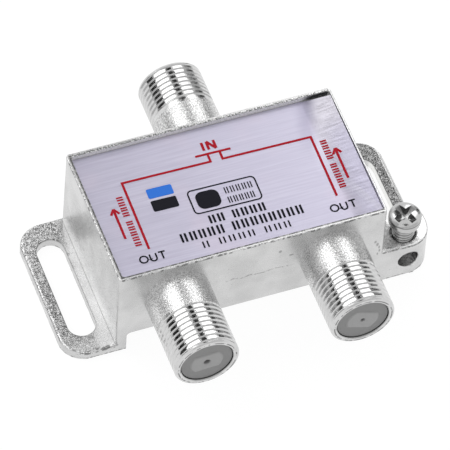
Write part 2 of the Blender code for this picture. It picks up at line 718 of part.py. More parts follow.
def resistor_profile():
    half = RESISTOR_LENGTH / 2
    waist = half - RESISTOR_CAP
    lower = [(0.0, -half), (RESISTOR_RADIUS, -half), (RESISTOR_RADIUS, -waist), (RESISTOR_WAIST, -waist)]
    return lower + [(radius, -height) for radius, height in reversed(lower)]


def add_circuit(body):
    parts = leaded_parts()
    add_board(body, parts)
    add_two_hole_core(body, "matching", -core_x)
    add_two_hole_core(body, "splitter", core_x)
    for label, side in (("left", -1), ("right", 1)):
        add_choke(body, label, side * (hollow_half_length - CHOKE_TO_END))
        add_axial_part(body, f"diode_{label}", parts[f"diode_{label}"], diode_profile(), "diode")
    resistor = "isolation_resistor"
    add_axial_part(body, resistor, parts[resistor], resistor_profile(), "resistor")
    for name in ("capacitor_in", "capacitor_out_left", "capacitor_out_right"):
        add_disc_capacitor(body, name, parts[name])


def main():
    clear_scene()
    base = add_frame("base", (0, 0, 0))
    body = add_frame("body", (-BODY_OFFSET, 0, 0))
    axes = add_port_axes()
    add_housing(body, base, axes)
    turns = {"in": INPUT_TURN, "out_left": LEFT_OUTPUT_TURN, "out_right": RIGHT_OUTPUT_TURN}
    for name, axis in axes.items():
        add_insulator(name, axis, turns[name])
        add_contact(name, axis)
    add_label(body)
    add_ground_screw()
    add_bottom_cover(body)
    add_circuit(body)


main()
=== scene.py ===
"""The looks of a two-way coaxial splitter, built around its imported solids.

The casting is built again with rounded edges, its three port barrels get their threads, the
foil label gets its fine curl and its print, and every surface gets a procedural finish.
"""

import math

import bmesh
import bpy
from mathutils import Matrix, Vector


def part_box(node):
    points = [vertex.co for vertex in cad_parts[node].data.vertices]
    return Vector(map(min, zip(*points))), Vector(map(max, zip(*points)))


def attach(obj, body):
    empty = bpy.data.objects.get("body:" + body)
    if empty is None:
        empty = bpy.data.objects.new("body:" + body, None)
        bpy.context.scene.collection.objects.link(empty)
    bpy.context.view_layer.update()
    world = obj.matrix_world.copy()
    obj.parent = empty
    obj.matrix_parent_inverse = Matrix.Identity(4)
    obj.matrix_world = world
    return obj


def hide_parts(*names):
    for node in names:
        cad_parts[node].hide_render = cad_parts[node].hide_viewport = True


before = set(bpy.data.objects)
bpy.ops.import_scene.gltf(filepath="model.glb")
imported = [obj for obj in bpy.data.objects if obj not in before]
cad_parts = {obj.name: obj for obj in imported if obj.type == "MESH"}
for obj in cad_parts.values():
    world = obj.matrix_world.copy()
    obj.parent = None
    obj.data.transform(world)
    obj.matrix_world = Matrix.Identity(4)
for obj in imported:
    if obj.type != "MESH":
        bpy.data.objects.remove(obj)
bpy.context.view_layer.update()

MM = 0.001
QUARTER = math.pi / 2
FULL = 2 * math.pi

# Camera, fitted to the photograph
CAMERA_AZIMUTH = math.radians(-23.974)
CAMERA_ELEVATION = math.radians(52.995)
CAMERA_ROLL = math.radians(4.817)
CAMERA_DISTANCE = 685.163 * MM
CAMERA_TARGET = Vector((-0.25, 0.0, 7.5)) * MM
CAMERA_LENS = 392.03
CAMERA_SENSOR = 36.0
CAMERA_SHIFT = (0.003069, -0.010242)

# Housing body
BODY_LENGTH = 39.6 * MM
BODY_WIDTH = 23.2 * MM
BODY_OFFSET = 0.3 * MM  # how far the body stands to the left of the middle of ports and ears
BODY_CORNER_RADIUS = 0.6 * MM
DRAFT_SLOPE = 0.0093
FOOT_HEIGHT = 3.5 * MM
FOOT_CORNER_RADIUS = 0.6 * MM
WALL = 1.6 * MM
ROOF = 1.0 * MM
RIM_WIDTH = 0.6 * MM
RIGHT_RIM_WIDTH = 0.28 * MM
RECESS_DEPTH = 0.95 * MM
RECESS_CORNER_RADIUS = 0.4 * MM
POCKET_INSET = 0.3 * MM
POCKET_CORNER_RADIUS = 1.4 * MM
SEAT_STEP = 0.7 * MM
SEAT_DEPTH = 1.2 * MM
HOLLOW_CORNER_RADIUS = 1.0 * MM

# Ears and ground block
EAR_THICKNESS = 1.4 * MM
EAR_CORNER_RADIUS = 3.5 * MM
SLOT_WIDTH = 4.0 * MM
SLOT_LENGTH = 17.1 * MM
BLOCK_HEIGHT = 6.4 * MM
BLOCK_DEPTH = 5.7 * MM
BLOCK_BACK_RADIUS = 0.8 * MM
BLOCK_TO_SLOT = 1.0 * MM
WIRE_HOLE_RADIUS = 1.55 * MM
WIRE_HOLE_HEIGHT = 3.3 * MM
SCREW_HOLE_RADIUS = 1.8 * MM
SCREW_HOLE_BOTTOM = 2.35 * MM

# Rounding of the casting's outer edges
EAR_ROUNDING = 0.45 * MM
EAR_END_ROUNDING = 0.12 * MM
EAR_ROUNDING_SPAN = (23.6 * MM, 26.5 * MM)  # from the middle, where the small one grows to the full one
BLOCK_ROUNDING = 0.28 * MM
SLOT_ROUNDING = 0.16 * MM
RIM_ROUNDING = 0.12 * MM
HOLE_ROUNDING = 0.12 * MM
FOOT_ROUNDING = 0.15 * MM
EDGE_STEPS = 4

# Ports
PORT_RADIUS = 4.73 * MM
MOUTH_ROUNDING = 0.5 * MM
MOUTH_ANGLES = (20, 35, 50, 65, 80, 90)  # steps of the rounding, in degrees
MOUTH_RADIUS = 3.8 * MM
MOUTH_DEPTH = 2.6 * MM
BORE_RADIUS = 3.0 * MM
LIP_WIDTH = 0.16 * MM  # the chamfer around the plug
LIP_DEPTH = 0.14 * MM
PORT_PITCH = 0.79375 * MM
PORT_GROOVE = 0.21 * MM
PORT_CREST = 0.46  # share of the pitch
PORT_ROOT = 0.14
INPUT_THREAD = (17.35 * MM, 23.5 * MM)  # where the thread starts and ends, from the middle
OUTPUT_THREAD = (16.35 * MM, 23.5 * MM)

# Insulators
FACE_RECESS = 0.3 * MM
PLUG_RADIUS = 3.74 * MM
PLATEAU_RADIUS = 2.5 * MM
PLATEAU_HALF_FLAT = 1.75 * MM
PLATEAU_RISE = 0.15 * MM
PLATEAU_SHOULDER = 0.35 * MM
SLEEVE_GAP = 0.25 * MM
PLUG_EDGE = 0.1 * MM
HOLE_EDGE = 0.06 * MM
HOLE_EDGE_REACH = 0.15 * MM
HOLE_TAPER = 0.85
FACE_STEPS = 36
PIN_HOLES = {"in": 0.4 * MM, "out_left": 0.52 * MM, "out_right": 0.34 * MM}
INSULATOR_TURNS = {"in": 0.0, "out_left": math.radians(3.7), "out_right": math.radians(-22.7)}

# Label
FOIL_THICKNESS = 0.12 * MM
FOIL_TOP = 15.4 * MM
FOIL_GAP = 0.07 * MM  # to the walls of the recess
FOIL_RAMP = (14.6 * MM, 18.98 * MM)  # where the lifted end starts and where the foil ends
FRONT_LIFT = 0.3  # share of the lift that the front edge has
FOIL_LIFTED_TOP = 16.15 * MM
FOIL_TAPER = 0.62 * MM  # how much the back edge draws in at the lifted end
PRINT_LIFT = 0.02 * MM
RIBBON_STEP = 0.002 * MM  # keeps crossing ribbons apart
PRINT_TURN = math.radians(-0.95)

# Where the finishes change, in mm. A pair is a soft step, with its strong side last, and four
# values are a soft band.
SAND_TOP = (7.5, 7.0)
FRONT_SAND = (-11.0, -8.0)
HIGH_SAND = (5.0, 6.2)  # above it the sand is fainter
EAR_SAND = (21.2, 22.3)
EAR_SAND_TOP = (3.0, 2.0)
EAR_SLANT = 0.07
RIGHT_EAR = (15.0, 22.0)
RIGHT_EAR_TOP = (5.5, 5.0)
EAR_ROOT = (1.36, 1.40, 1.52, 1.62)  # the line where ear and wall meet
EAR_EDGE = (0.9, 1.1, 1.45, 1.6)  # the rounded upper edge of the ears
EAR_FOOT = (0.45, 0.2)
EAR_FRONT = (-10.9, -11.3)
EAR_LEFT = (-20.0, -20.4)
EAR_ENDS = (26.0, 26.2)
EAR_SIDES = (10.6, 10.8)
# The right ear's outer edge, where a painted highlight runs
RIGHT_EDGE_HIGHLIGHT = (26.65, 26.8)
RIGHT_SLOT = (20.5, 21.0)
SLOT_WALL_TOP = (2.2, 2.0)
BLOCK_LEFT = (19.2, 19.4)
BLOCK_LOW = (5.9, 6.1)
BLOCK_SLANT = 0.9
BLOCK_SAND = (16.2, 14.9)
BLOCK_BARE = (15.2, 16.4)
BLOCK_LIP = (-10.85, -11.05)
SEAM_HEIGHT = (9.5, 9.85)  # between which the parting line wavers
SEAM_REACH = (0.13, 0.05)
SEAM_SPAN = (-4.6, -3.6, 6.0, 7.0)
RIM_TOP = (16.05, 16.15)
RIM_LINES = (15.9, 16.0)
RIM_LEFT = (-19.0, -19.3)
RIM_FRONT = (-10.4, -10.7)
RECESS_WALL = (15.2, 15.3)
# Where painted shade darkens the back right corner of the recess's wall
DARK_CORNER_X = (14.5, 16.5)
DARK_CORNER_Y = (9.0, 9.5)
PLAIN_LENGTH = (INPUT_THREAD[0] / MM - 0.2, INPUT_THREAD[0] / MM - 0.9)
# Rings of painted shade on a port's mouth, by distance from its axis
LIP_RING = (4.08, 4.16, 4.26, 4.34)
MOUTH_RING = (3.92, 3.84)
MOUTH_FACE = (23.3, 23.4)
FOLD_SLANT = 0.28
# The line of a painted highlight near the foil's front right corner
CORNER_FOLD = (0.927, 0.375, -13.67)  # shares of x and y, and what is added to them

# Finishes
FINE_RELIEF = 0.05 * MM
PORT_RELIEF = 0.1 * MM
SAND_RELIEF = 0.15 * MM
INK_ROUGHNESS = 0.6
INK_SPECULAR = 0.12

# Print on the foil, in mm
DIAGRAM = [
    [(-13.97, -7.13), (-13.97, 4.69), (-0.96, 4.7), (-0.96, 6.1)],
    [(13.86, -6.04), (13.86, 4.72), (0.82, 4.7), (0.82, 6.1)],
    [(-2.75, 6.09), (2.45, 6.1)],
]
ARROWS = [[(-16.52, -4.56), (-16.55, 0.75)], [(16.42, -3.65), (16.41, 1.77)]]
DIAGRAM_LINE = 0.36
BARB = (0.62, 0.95)
RED_WORD = ("IN", (-0.3, 7.48), 1.45, 0.4, 0.5)  # centre, height, line and gap
BLACK_WORDS = [
    ("OUT", (-13.92, -8.64), 1.22, 0.24, 0.32),
    ("OUT", (14.14, -7.98), 1.22, 0.24, 0.32),
]
UPRIGHT_ROWS = [  # rows of bars: from where to where, lower and upper end, groups and line
    ((-4.6, 3.95), (-5.5, -4.1), (2, 4), 0.33),
    ((-9.4, 8.8), (-7.5, -6.0), (5, 8), 0.33),
    ((-6.9, 6.4), (-9.2, -8.1), (1, 4, 3), 0.24),
    ((-0.9, 3.4), (-1.2, -0.1), (5,), 0.18),
    ((-0.9, 3.2), (-2.9, -1.8), (5,), 0.18),
]
LYING_ROWS = [((-6.3, 2.7), (-15.6, -14.65), (5, 4), 0.26), ((-5.0, 3.8), (14.75, 15.7), (5, 4), 0.26)]
WORD_GAP = 0.7  # between two groups of bars, as a share of a letter's cell
FRAME = (-1.0, -1.38, 9.8, 4.05, 0.6)  # middle, length, width and corner radius
FRAME_LINE = 0.22
BLUE_FIELD = (-9.4, 1.8, 3.7, 1.7, 0.25)
CENTRE_FIELD = (-9.4, -0.4, 3.7, 1.9, 0.25)
SIDE_FIELD = (-3.4, -1.4, 3.4, 3.0, 1.0)

# Ground screw
SHANK_RADIUS = 1.6 * MM
HEAD_RADIUS = 2.34 * MM
HEAD_UNDERSIDE = 8.9 * MM
HEAD_SIDE = 0.9 * MM
HEAD_CHAMFER = 0.25 * MM
HEAD_DOME = 0.75 * MM
SCREW_PITCH = 0.6 * MM
SCREW_GROOVE = 0.26 * MM
SCREW_CREST = 0.2  # share of the pitch
SCREW_ROOT = 0.15
SCREW_TIP_CHAMFER = 0.4 * MM
SCREW_NECK = 0.15 * MM  # plain length under the head
NECK_GROOVE = 0.1 * MM
AXIS_HOLE = 0.01 * MM  # how near a turned shape comes to its axis
CROSS_WIDTH = 1.1 * MM
CROSS_LENGTH = 4.3 * MM
CROSS_DEPTH = 1.1 * MM
CROSS_CORNER = 0.05 * MM
CROSS_FOOT = (0.35, 0.5)  # length and width at the bottom, as shares of those at the top
CROSS_TURN = math.radians(24)

# Meshing
OVERRUN = 1.0 * MM
MERGE = 0.0005 * MM
PLANE_OFFSET = 0.02 * MM  # keeps two walls of the casting from lying in one plane while they are joined
SLIVER = 0.05 * MM  # steps between walls of the casting that are narrower than this are closed
FLAT_ANGLE = math.radians(0.6)
SHARP_ANGLE = math.radians(32)
TURN_STEPS = 96
CORNER_STEPS = 6
FLOOR_DROP = 0.02 * MM  # keeps the floor from lying in one plane with the feet

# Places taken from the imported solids
housing_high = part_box("housing")[1]
screw_low, screw_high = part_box("ground_screw")
plug_low, plug_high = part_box("insulator_out_left")
ear_reach = housing_high.x
port_reach = housing_high.y
body_height = housing_high.z
screw_axis = (screw_low + screw_high) / 2
port_height = (plug_low.z + plug_high.z) / 2
output_x = -(plug_low.x + plug_high.x) / 2
block_back = BLOCK_DEPTH - BODY_WIDTH / 2
recess_inset = DRAFT_SLOPE * body_height + RIM_WIDTH
recess_floor = body_height - RECESS_DEPTH
pocket_half_length = BODY_LENGTH / 2 - WALL - POCKET_INSET
pocket_half_width = BODY_WIDTH / 2 - WALL + SEAT_STEP
PLATEAU = "plateau"
CAST_MARKS = [  # centre in mm, radius in mm and reach along the axes, of small dark marks
    ((17.95, -11.5, 9.6), 0.32, (0.8, 1.0, 1.2)),
    ((18.3, -11.5, 8.9), 0.34, (0.8, 1.0, 1.5)),
    ((18.6, -11.5, 8.2), 0.30, (0.6, 1.0, 1.5)),
    ((18.7, -11.5, 7.4), 0.30, (0.6, 1.0, 1.5)),
    ((18.45, -11.5, 6.7), 0.28, (0.6, 1.0, 1.3)),
    ((3.58, -11.5, 13.3), 0.4, (0.8, 1.0, 1.0)),
    ((5.3, -11.5, 11.9), 0.35, (1.4, 1.0, 0.7)),
    ((25.3, -9.7, 6.35), 0.6, (1.2, 0.6, 1.0)),
    ((20.4, -11.0, 6.35), 0.5, (1.4, 0.6, 1.0)),
]
# Broad soft dark spots on the left wall: a painted reflection of the left ear's slot end
PAINTED_REFLECTION_SPOTS = [  # broad soft ones
    ((-20.0, 2.4, 8.2), 1.1, (1.0, 1.3, 1.0)),
    ((-20.0, 5.0, 5.8), 1.2, (1.0, 1.2, 0.8)),
    ((-20.0, -0.6, 9.5), 1.2, (1.0, 1.2, 0.8)),
]
PORT_MARKS = [
    ((-15.3, -19.5, 11.4), 0.45, (1.0, 1.0, 1.0)),
    ((-3.7, 18.6, 11.8), 0.45, (1.0, 1.0, 1.0)),
]
PORTS = {
    "in": (0.0, port_reach, -QUARTER, INPUT_THREAD),
    "out_left": (-output_x, -port_reach, QUARTER, OUTPUT_THREAD),
    "out_right": (output_x, -port_reach, QUARTER, OUTPUT_THREAD),
}


def add_object(name, bm, material=None):
    bmesh.ops.recalc_face_normals(bm, faces=bm.faces)
    mesh = bpy.data.meshes.new(name)
    bm.to_mesh(mesh)
    bm.free()
    obj = bpy.data.objects.new(name, mesh)
    bpy.context.scene.collection.objects.link(obj)
    if material:
        mesh.materials.append(material)
    return obj


def add_piece(name, bm, material, body="splitter", smooth=math.radians(35)):
    piece = add_object(name, bm, material)
    piece.data.shade_smooth()
    piece.data.set_sharp_from_angle(angle=smooth)
    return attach(piece, body)


def arc(centre, radius, start, end, steps=CORNER_STEPS):
    angles = [start + (end - start) * step / steps for step in range(steps + 1)]
    return [(centre[0] + radius * math.cos(a), centre[1] + radius * math.sin(a)) for a in angles]


def rectangle(length, width, radius, steps=CORNER_STEPS):
    x, y = length / 2 - radius, width / 2 - radius
    points = []
    for turn, centre in enumerate(((x, y), (-x, y), (-x, -y), (x, -y))):
        points += arc(centre, radius, turn * QUARTER, (turn + 1) * QUARTER, steps)
    return points


def loft(sections, plane="XY"):
    """A closed shape through outlines of equal point count, each given as (height, outline)."""
    place = {"XY": lambda u, v, w: (u, v, w), "XZ": lambda u, v, w: (u, w, v)}[plane]
    bm = bmesh.new()
    rings = [[bm.verts.new(place(u, v, w)) for u, v in outline] for w, outline in sections]
    for lower, upper in zip(rings, rings[1:]):
        for i, vert in enumerate(lower):
            bm.faces.new((lower[i - 1], vert, upper[i], upper[i - 1]))
    bm.faces.new(rings[0])
    bm.faces.new(rings[-1])
    return bm


def prism(outline, low, high, plane="XY"):
    return loft([(low, outline), (high, outline)], plane)


def round_bar(x, z, radius, low, high):
    return prism(arc((x, z), radius, 0.0, FULL, TURN_STEPS)[:-1], low, high, "XZ")


def combined(base, steps):
    """The base with each (operation, shape) applied in turn, as a bmesh."""
    piece = add_object("work", base)
    tools = []
    for operation, shape in steps:
        tool = add_object("tool", shape)
        tools.append(tool)
        modifier = piece.modifiers.new("step", "BOOLEAN")
        modifier.operation = operation
        modifier.solver = "EXACT"
        modifier.object = tool
    graph = bpy.context.evaluated_depsgraph_get()
    mesh = bpy.data.meshes.new_from_object(piece.evaluated_get(graph))
    bm = bmesh.new()
    bm.from_mesh(mesh)
    bpy.data.meshes.remove(mesh)
    for obj in [piece, *tools]:
        bpy.data.objects.remove(obj, do_unlink=True)
    return bm


def grid(rows, closed_rows=False, closed_columns=True):
    """A surface through rows of points."""
    bm = bmesh.new()
    verts = [[bm.verts.new(point) for point in row] for row in rows]
    count = len(verts)
    for j in range(count if closed_rows else count - 1):
        first, second = verts[j], verts[(j + 1) % count]
        for i in range(0 if closed_columns else 1, len(first)):
            bm.faces.new((first[i - 1], first[i], second[i], second[i - 1]))
    bmesh.ops.remove_doubles(bm, verts=bm.verts, dist=MERGE)
    return bm


def turned_shape(rows):
    return grid(rows, closed_rows=True, closed_columns=False)


def eased(share):
    """A share held between 0 and 1, with a soft start and end."""
    share = min(1.0, max(0.0, share))
    return share * share * (3 - 2 * share)


def grey(value):
    return (value, value, value, 1.0)


class Nodes:
    """The node tree of a material or of the world."""

    def __init__(self, owner, end):
        owner.use_nodes = True
        self.tree = owner.node_tree
        self.end = self.tree.nodes[end].inputs["Surface"]

    def feed(self, socket, value):
        if isinstance(value, bpy.types.NodeSocket):
            self.tree.links.new(value, socket)
        elif value is not None:
            socket.default_value = value

    def node(self, kind, *values, **settings):
        made = self.tree.nodes.new(kind)
        for key, value in settings.items():
            setattr(made, key, value)
        for socket, value in zip(made.inputs, values):
            self.feed(socket, value)
        return made.outputs[0]

    def math(self, operation, *values):
        return self.node("ShaderNodeMath", *values, operation=operation)

    def seen_directly(self):
        """1 for rays that see the backdrop straight, in a mirror or through glass, and 0 for light."""
        path = self.node("ShaderNodeLightPath").node.outputs
        mirrored = self.math("MAXIMUM", path["Is Camera Ray"], path["Is Glossy Ray"])
        return self.math("MAXIMUM", mirrored, path["Is Transmission Ray"])


class Finish(Nodes):
    """A material whose node tree is written out step by step, in millimetres of the frame."""

    def __init__(self, name, colour, roughness, metallic, specular=0.5):
        self.material = bpy.data.materials.new(name)
        super().__init__(self.material, "Material Output")
        self.shader = self.tree.nodes["Principled BSDF"]
        self.set("Base Color", (*colour, 1.0))
        self.set("Roughness", roughness)
        self.set("Metallic", metallic)
        self.set("Specular IOR Level", specular)
        coordinates = self.tree.nodes.new("ShaderNodeTexCoord").outputs["Object"]
        self.place = self.node("ShaderNodeVectorMath", coordinates, operation="SCALE")
        self.place.node.inputs["Scale"].default_value = 1 / MM
        self.x, self.y, self.z = self.split(self.place)
        self.tone = None

    def set(self, name, value):
        self.feed(self.shader.inputs[name], value)

    def split(self, vector):
        return list(self.node("ShaderNodeSeparateXYZ", vector).node.outputs)

    def times(self, first, *others):
        for other in others:
            first = self.math("MULTIPLY", first, other)
        return first

    def larger(self, first, second):
        return self.math("MAXIMUM", first, second)

    def size(self, value):
        return self.math("ABSOLUTE", value)

    def opposite(self, share):
        return self.math("SUBTRACT", 1.0, share)

    def noise(self, scale, detail=2.0, rough=0.5, stretch=(1.0, 1.0, 1.0)):
        vector = self.node("ShaderNodeVectorMath", self.place, stretch, operation="MULTIPLY")
        made = self.node("ShaderNodeTexNoise", vector).node
        made.inputs["Scale"].default_value = scale
        made.inputs["Detail"].default_value = detail
        made.inputs["Roughness"].default_value = rough
        return made.outputs["Fac"]

    def ramp(self, value, low, high, to_low=0.0, to_high=1.0, smooth=True):
        kind = "SMOOTHSTEP" if smooth else "LINEAR"
        return self.node(
            "ShaderNodeMapRange", value, low, high, to_low, to_high, interpolation_type=kind
        )

    def between(self, value, low, full_low, full_high, high):
        """1 between the two inner limits and 0 outside the two outer ones."""
        return self.times(self.ramp(value, low, full_low), self.ramp(value, high, full_high))

    def mix(self, factor, first, second):
        """Between two colours, of which one that is a plain number is a grey."""
        made = self.node("ShaderNodeMix", factor, data_type="RGBA").node
        for socket, colour in zip(made.inputs[6:8], (first, second)):
            self.feed(socket, grey(colour) if isinstance(colour, float) else colour)
        return made.outputs[2]

    def paint(self, colour, *shares):
        """Lays a colour over the tone, as strongly as the product of the shares says."""
        self.tone = self.mix(self.times(*shares), self.tone, colour)

    def spot(self, centre, radius, reach=(1.0, 1.0, 1.0)):
        """1 in the middle of a soft spot and 0 outside it. Its reach stretches it along the axes."""
        away = self.node("ShaderNodeVectorMath", self.place, centre, operation="SUBTRACT")
        shares = tuple(1 / (radius * share) for share in reach)
        away = self.node("ShaderNodeVectorMath", away, shares, operation="MULTIPLY")
        length = self.node("ShaderNodeVectorMath", away, operation="LENGTH").node.outputs["Value"]
        return self.ramp(length, 1.0, 0.45)

    def spots(self, places):
        total = None
        for place in places:
            one = self.spot(*place)
            total = one if total is None else self.larger(total, one)
        return total

    def bump(self, height, strength, distance, normal=None):
        made = self.node("ShaderNodeBump").node
        self.feed(made.inputs["Height"], height)
        self.feed(made.inputs["Strength"], strength)
        made.inputs["Distance"].default_value = distance
        self.feed(made.inputs["Normal"], normal)
        return made.outputs["Normal"]

    def done(self, roughness, normal):
        self.set("Base Color", self.tone)
        self.set("Roughness", roughness)
        self.set("Normal", normal)
        return self.material


class CastFinish(Finish):
    """Satin nickel over a zinc casting, with a coarse sandy grain on ears and block."""

    def __init__(self):
        super().__init__("cast_metal", (0.62, 0.62, 0.62), 0.30, 1.0)
        normal = self.node("ShaderNodeNewGeometry").node.outputs["Normal"]
        self.facing_x, self.facing_y, self.facing_z = self.split(normal)
        self.wobble = self.ramp(self.noise(1.3, 2.0), 0.3, 0.7, -0.25, 0.25)
        self.coarse, self.fine = self.noise(6.5, 3.0, 0.6), self.noise(9.0, 2.0, 0.5)
        self.chips, self.fine_chips = self.noise(1.6, 3.0, 0.65), self.noise(4.2, 2.0, 0.6)
        self.top = self.ramp(self.facing_z, 0.62, 0.9)
        self.ear_edge = self.between(self.z, *EAR_EDGE)
        self.block = self.times(self.ramp(self.x, *BLOCK_LEFT), self.ramp(self.z, *BLOCK_LOW))
        slanted = self.math("ADD", self.x, self.wobble)
        self.over_block = self.math("MULTIPLY_ADD", self.y, BLOCK_SLANT, slanted)

    def sand(self):
        """Where the surface is sandy."""
        border = self.math("ADD", self.size(self.x), self.wobble)
        border = self.math("MULTIPLY_ADD", self.y, EAR_SLANT, border)
        ear = self.times(self.ramp(border, *EAR_SAND), self.ramp(self.z, *EAR_SAND_TOP))
        block = self.times(self.block, self.ramp(self.over_block, *BLOCK_SAND))
        return self.times(self.larger(ear, block), self.top, self.ramp(self.z, *SAND_TOP))

    def plate(self, sandy):
        """Satin plating, with dark hollows and bright ridges where it is sandy, its small marks, and broad
        dark spots on the left wall that are a painted reflection.
        """
        satin = self.mix(self.ramp(self.noise(0.25, 2.0), 0.3, 0.7), 0.57, 0.66)
        relief = self.math("MULTIPLY_ADD", self.noise(2.0, 2.0), 0.35, self.coarse)
        right_ear = self.times(self.ramp(self.x, *RIGHT_EAR), self.ramp(self.z, *RIGHT_EAR_TOP))
        hollows = self.mix(right_ear, 0.09, 0.02)
        ridges = self.mix(right_ear, 0.76, 0.52)
        depth = self.times(sandy, self.ramp(self.y, *FRONT_SAND, 0.36, 0.96))
        depth = self.times(depth, self.ramp(self.z, *HIGH_SAND, 1.0, 0.55))
        speckle = self.mix(self.ramp(relief, 0.58, 0.80), hollows, ridges)
        self.tone = self.mix(depth, satin, speckle)
        self.paint(0.22, self.ramp(self.noise(2.6, 2.0, 0.6), 0.66, 0.74), 0.35)
        self.paint(0.12, self.spots(CAST_MARKS), 0.55)
        # Painted reflection: broad soft dark spots on the left wall
        self.paint(0.30, self.spots(PAINTED_REFLECTION_SPOTS), 0.2)

    def draw_lines(self):
        """The broken parting line of the front wall, and the line where ear and wall meet."""
        height = self.ramp(self.noise(0.8, 3.0), 0.3, 0.7, *SEAM_HEIGHT)
        seam = self.ramp(self.size(self.math("SUBTRACT", self.z, height)), *SEAM_REACH)
        front = self.ramp(self.facing_y, -0.9, -0.98)
        broken = self.ramp(self.noise(2.2, 2.0), 0.46, 0.54, 0.1, 0.7)
        self.paint(0.20, seam, self.between(self.x, *SEAM_SPAN), front, broken)
        sideways = self.ramp(self.size(self.facing_x), 0.9, 0.98)
        self.paint(0.14, self.between(self.z, *EAR_ROOT), sideways, 0.8)

    def ear_chips_and_painted_light(self):
        """Chipped dark edges below and in front, painted highlights on the outer rounded edges and along
        the right ear's outer edge, the other rounded edges darker, and a painted pale sheen on the right
        slot's wall.
        """
        front = self.times(self.ramp(self.y, *EAR_FRONT), self.ramp(self.x, *EAR_LEFT))
        front = self.times(front, self.ear_edge)
        foot = self.times(self.ramp(self.z, *EAR_FOOT), self.ramp(self.facing_z, -0.9, -0.7))
        self.paint(0.10, self.larger(foot, front), self.ramp(self.chips, 0.47, 0.52), 0.75)
        crown = self.times(self.between(self.facing_z, 0.78, 0.86, 0.96, 0.985), self.ear_edge)
        ends, sides = self.ramp(self.size(self.x), *EAR_ENDS), self.ramp(self.size(self.y), *EAR_SIDES)
        outside = self.larger(ends, sides)
        # Painted highlight on the outer rounded edges of the ears
        self.paint(1.0, crown, outside, self.ramp(self.fine_chips, 0.58, 0.46), 0.7)
        self.paint(0.12, crown, self.opposite(outside), 0.6)
        # Painted highlight along the right ear's outer edge
        self.paint(0.92, self.ramp(self.x, *RIGHT_EDGE_HIGHLIGHT), self.ear_edge, 0.7)
        # Painted pale sheen on the wall of the right slot that faces left
        slot_wall = self.times(self.ramp(self.facing_x, -0.7, -0.9), self.ramp(self.x, *RIGHT_SLOT))
        self.paint((0.92, 0.92, 0.90, 1.0), slot_wall, self.ramp(self.z, *SLOT_WALL_TOP), 0.8)

    def block_wear_and_painted_highlight(self):
        """Bright where the sand is worn off, with a painted highlight along the front edge of its top and
        a chipped dark brow in front.
        """
        self.paint(0.95, self.block, self.top, self.ramp(self.over_block, *BLOCK_BARE))
        # Painted highlight along the block's front edge
        lip = self.ramp(self.math("ADD", self.y, self.wobble), *BLOCK_LIP)
        self.paint(0.95, self.block, self.top, lip)
        brow = self.times(self.between(self.facing_z, 0.1, 0.25, 0.66, 0.78), self.block)
        self.paint(0.08, brow, self.ramp(self.fine_chips, 0.40, 0.48), 0.8)

    def rim_wear_and_painted_light(self):
        """Worn and chipped rim, with dark lines along its two near sides, and the recess's wall painted
        pale and made less metallic as painted light, with painted shade in its back right corner.
        """
        rim = self.ramp(self.z, *RIM_TOP)
        past_end = self.size(self.math("ADD", self.x, BODY_OFFSET / MM))
        past_end = self.math("SUBTRACT", past_end, (BODY_LENGTH / 2 - recess_inset) / MM)
        past_side = self.math("SUBTRACT", self.size(self.y), (BODY_WIDTH / 2 - recess_inset) / MM)
        outward = self.larger(past_end, past_side)
        self.paint(0.92, rim, self.ramp(self.fine_chips, 0.55, 0.45), 0.4)
        # The recess's wall: a painted pale sheen, made less metallic, and painted shade in its back right
        # corner
        wall = self.times(self.ramp(self.z, *RECESS_WALL), self.ramp(outward, 0.1, 0.04))
        corner = self.times(self.ramp(self.x, *DARK_CORNER_X), self.ramp(self.y, *DARK_CORNER_Y))
        self.paint(self.mix(corner, (0.95, 0.95, 0.93, 1.0), (0.10, 0.10, 0.11, 1.0)), wall, 0.8)
        lit_wall = self.times(wall, self.opposite(corner))
        self.set("Metallic", self.ramp(lit_wall, 0.0, 1.0, 1.0, 0.3))
        near = self.larger(self.ramp(self.x, *RIM_LEFT), self.ramp(self.y, *RIM_FRONT))
        dashes = self.times(rim, self.ramp(self.fine_chips, 0.46, 0.54), self.ramp(outward, 0.42, 0.2))
        dashes = self.times(dashes, self.opposite(near))
        inner = self.times(self.ramp(outward, 0.32, 0.22), self.ramp(self.chips, 0.42, 0.5, 0.6, 1.0))
        outer = self.times(self.ramp(outward, 0.45, 0.50), self.ramp(self.chips, 0.52, 0.46), 0.8)
        lines = self.times(self.larger(inner, outer), near, self.ramp(self.z, *RIM_LINES))
        self.paint(0.07, self.larger(dashes, lines), 0.9)


def cast_finish():
    finish = CastFinish()
    sandy = finish.sand()
    finish.plate(sandy)
    finish.draw_lines()
    finish.ear_chips_and_painted_light()
    finish.block_wear_and_painted_highlight()
    finish.rim_wear_and_painted_light()
    strength = finish.ramp(sandy, 0.0, 1.0, 0.05, 0.7, smooth=False)
    soft = finish.bump(finish.fine, 0.12, FINE_RELIEF)
    relief = finish.bump(finish.coarse, strength, SAND_RELIEF, soft)
    return finish.done(finish.ramp(finish.fine, 0.3, 0.7, 0.24, 0.36), relief)


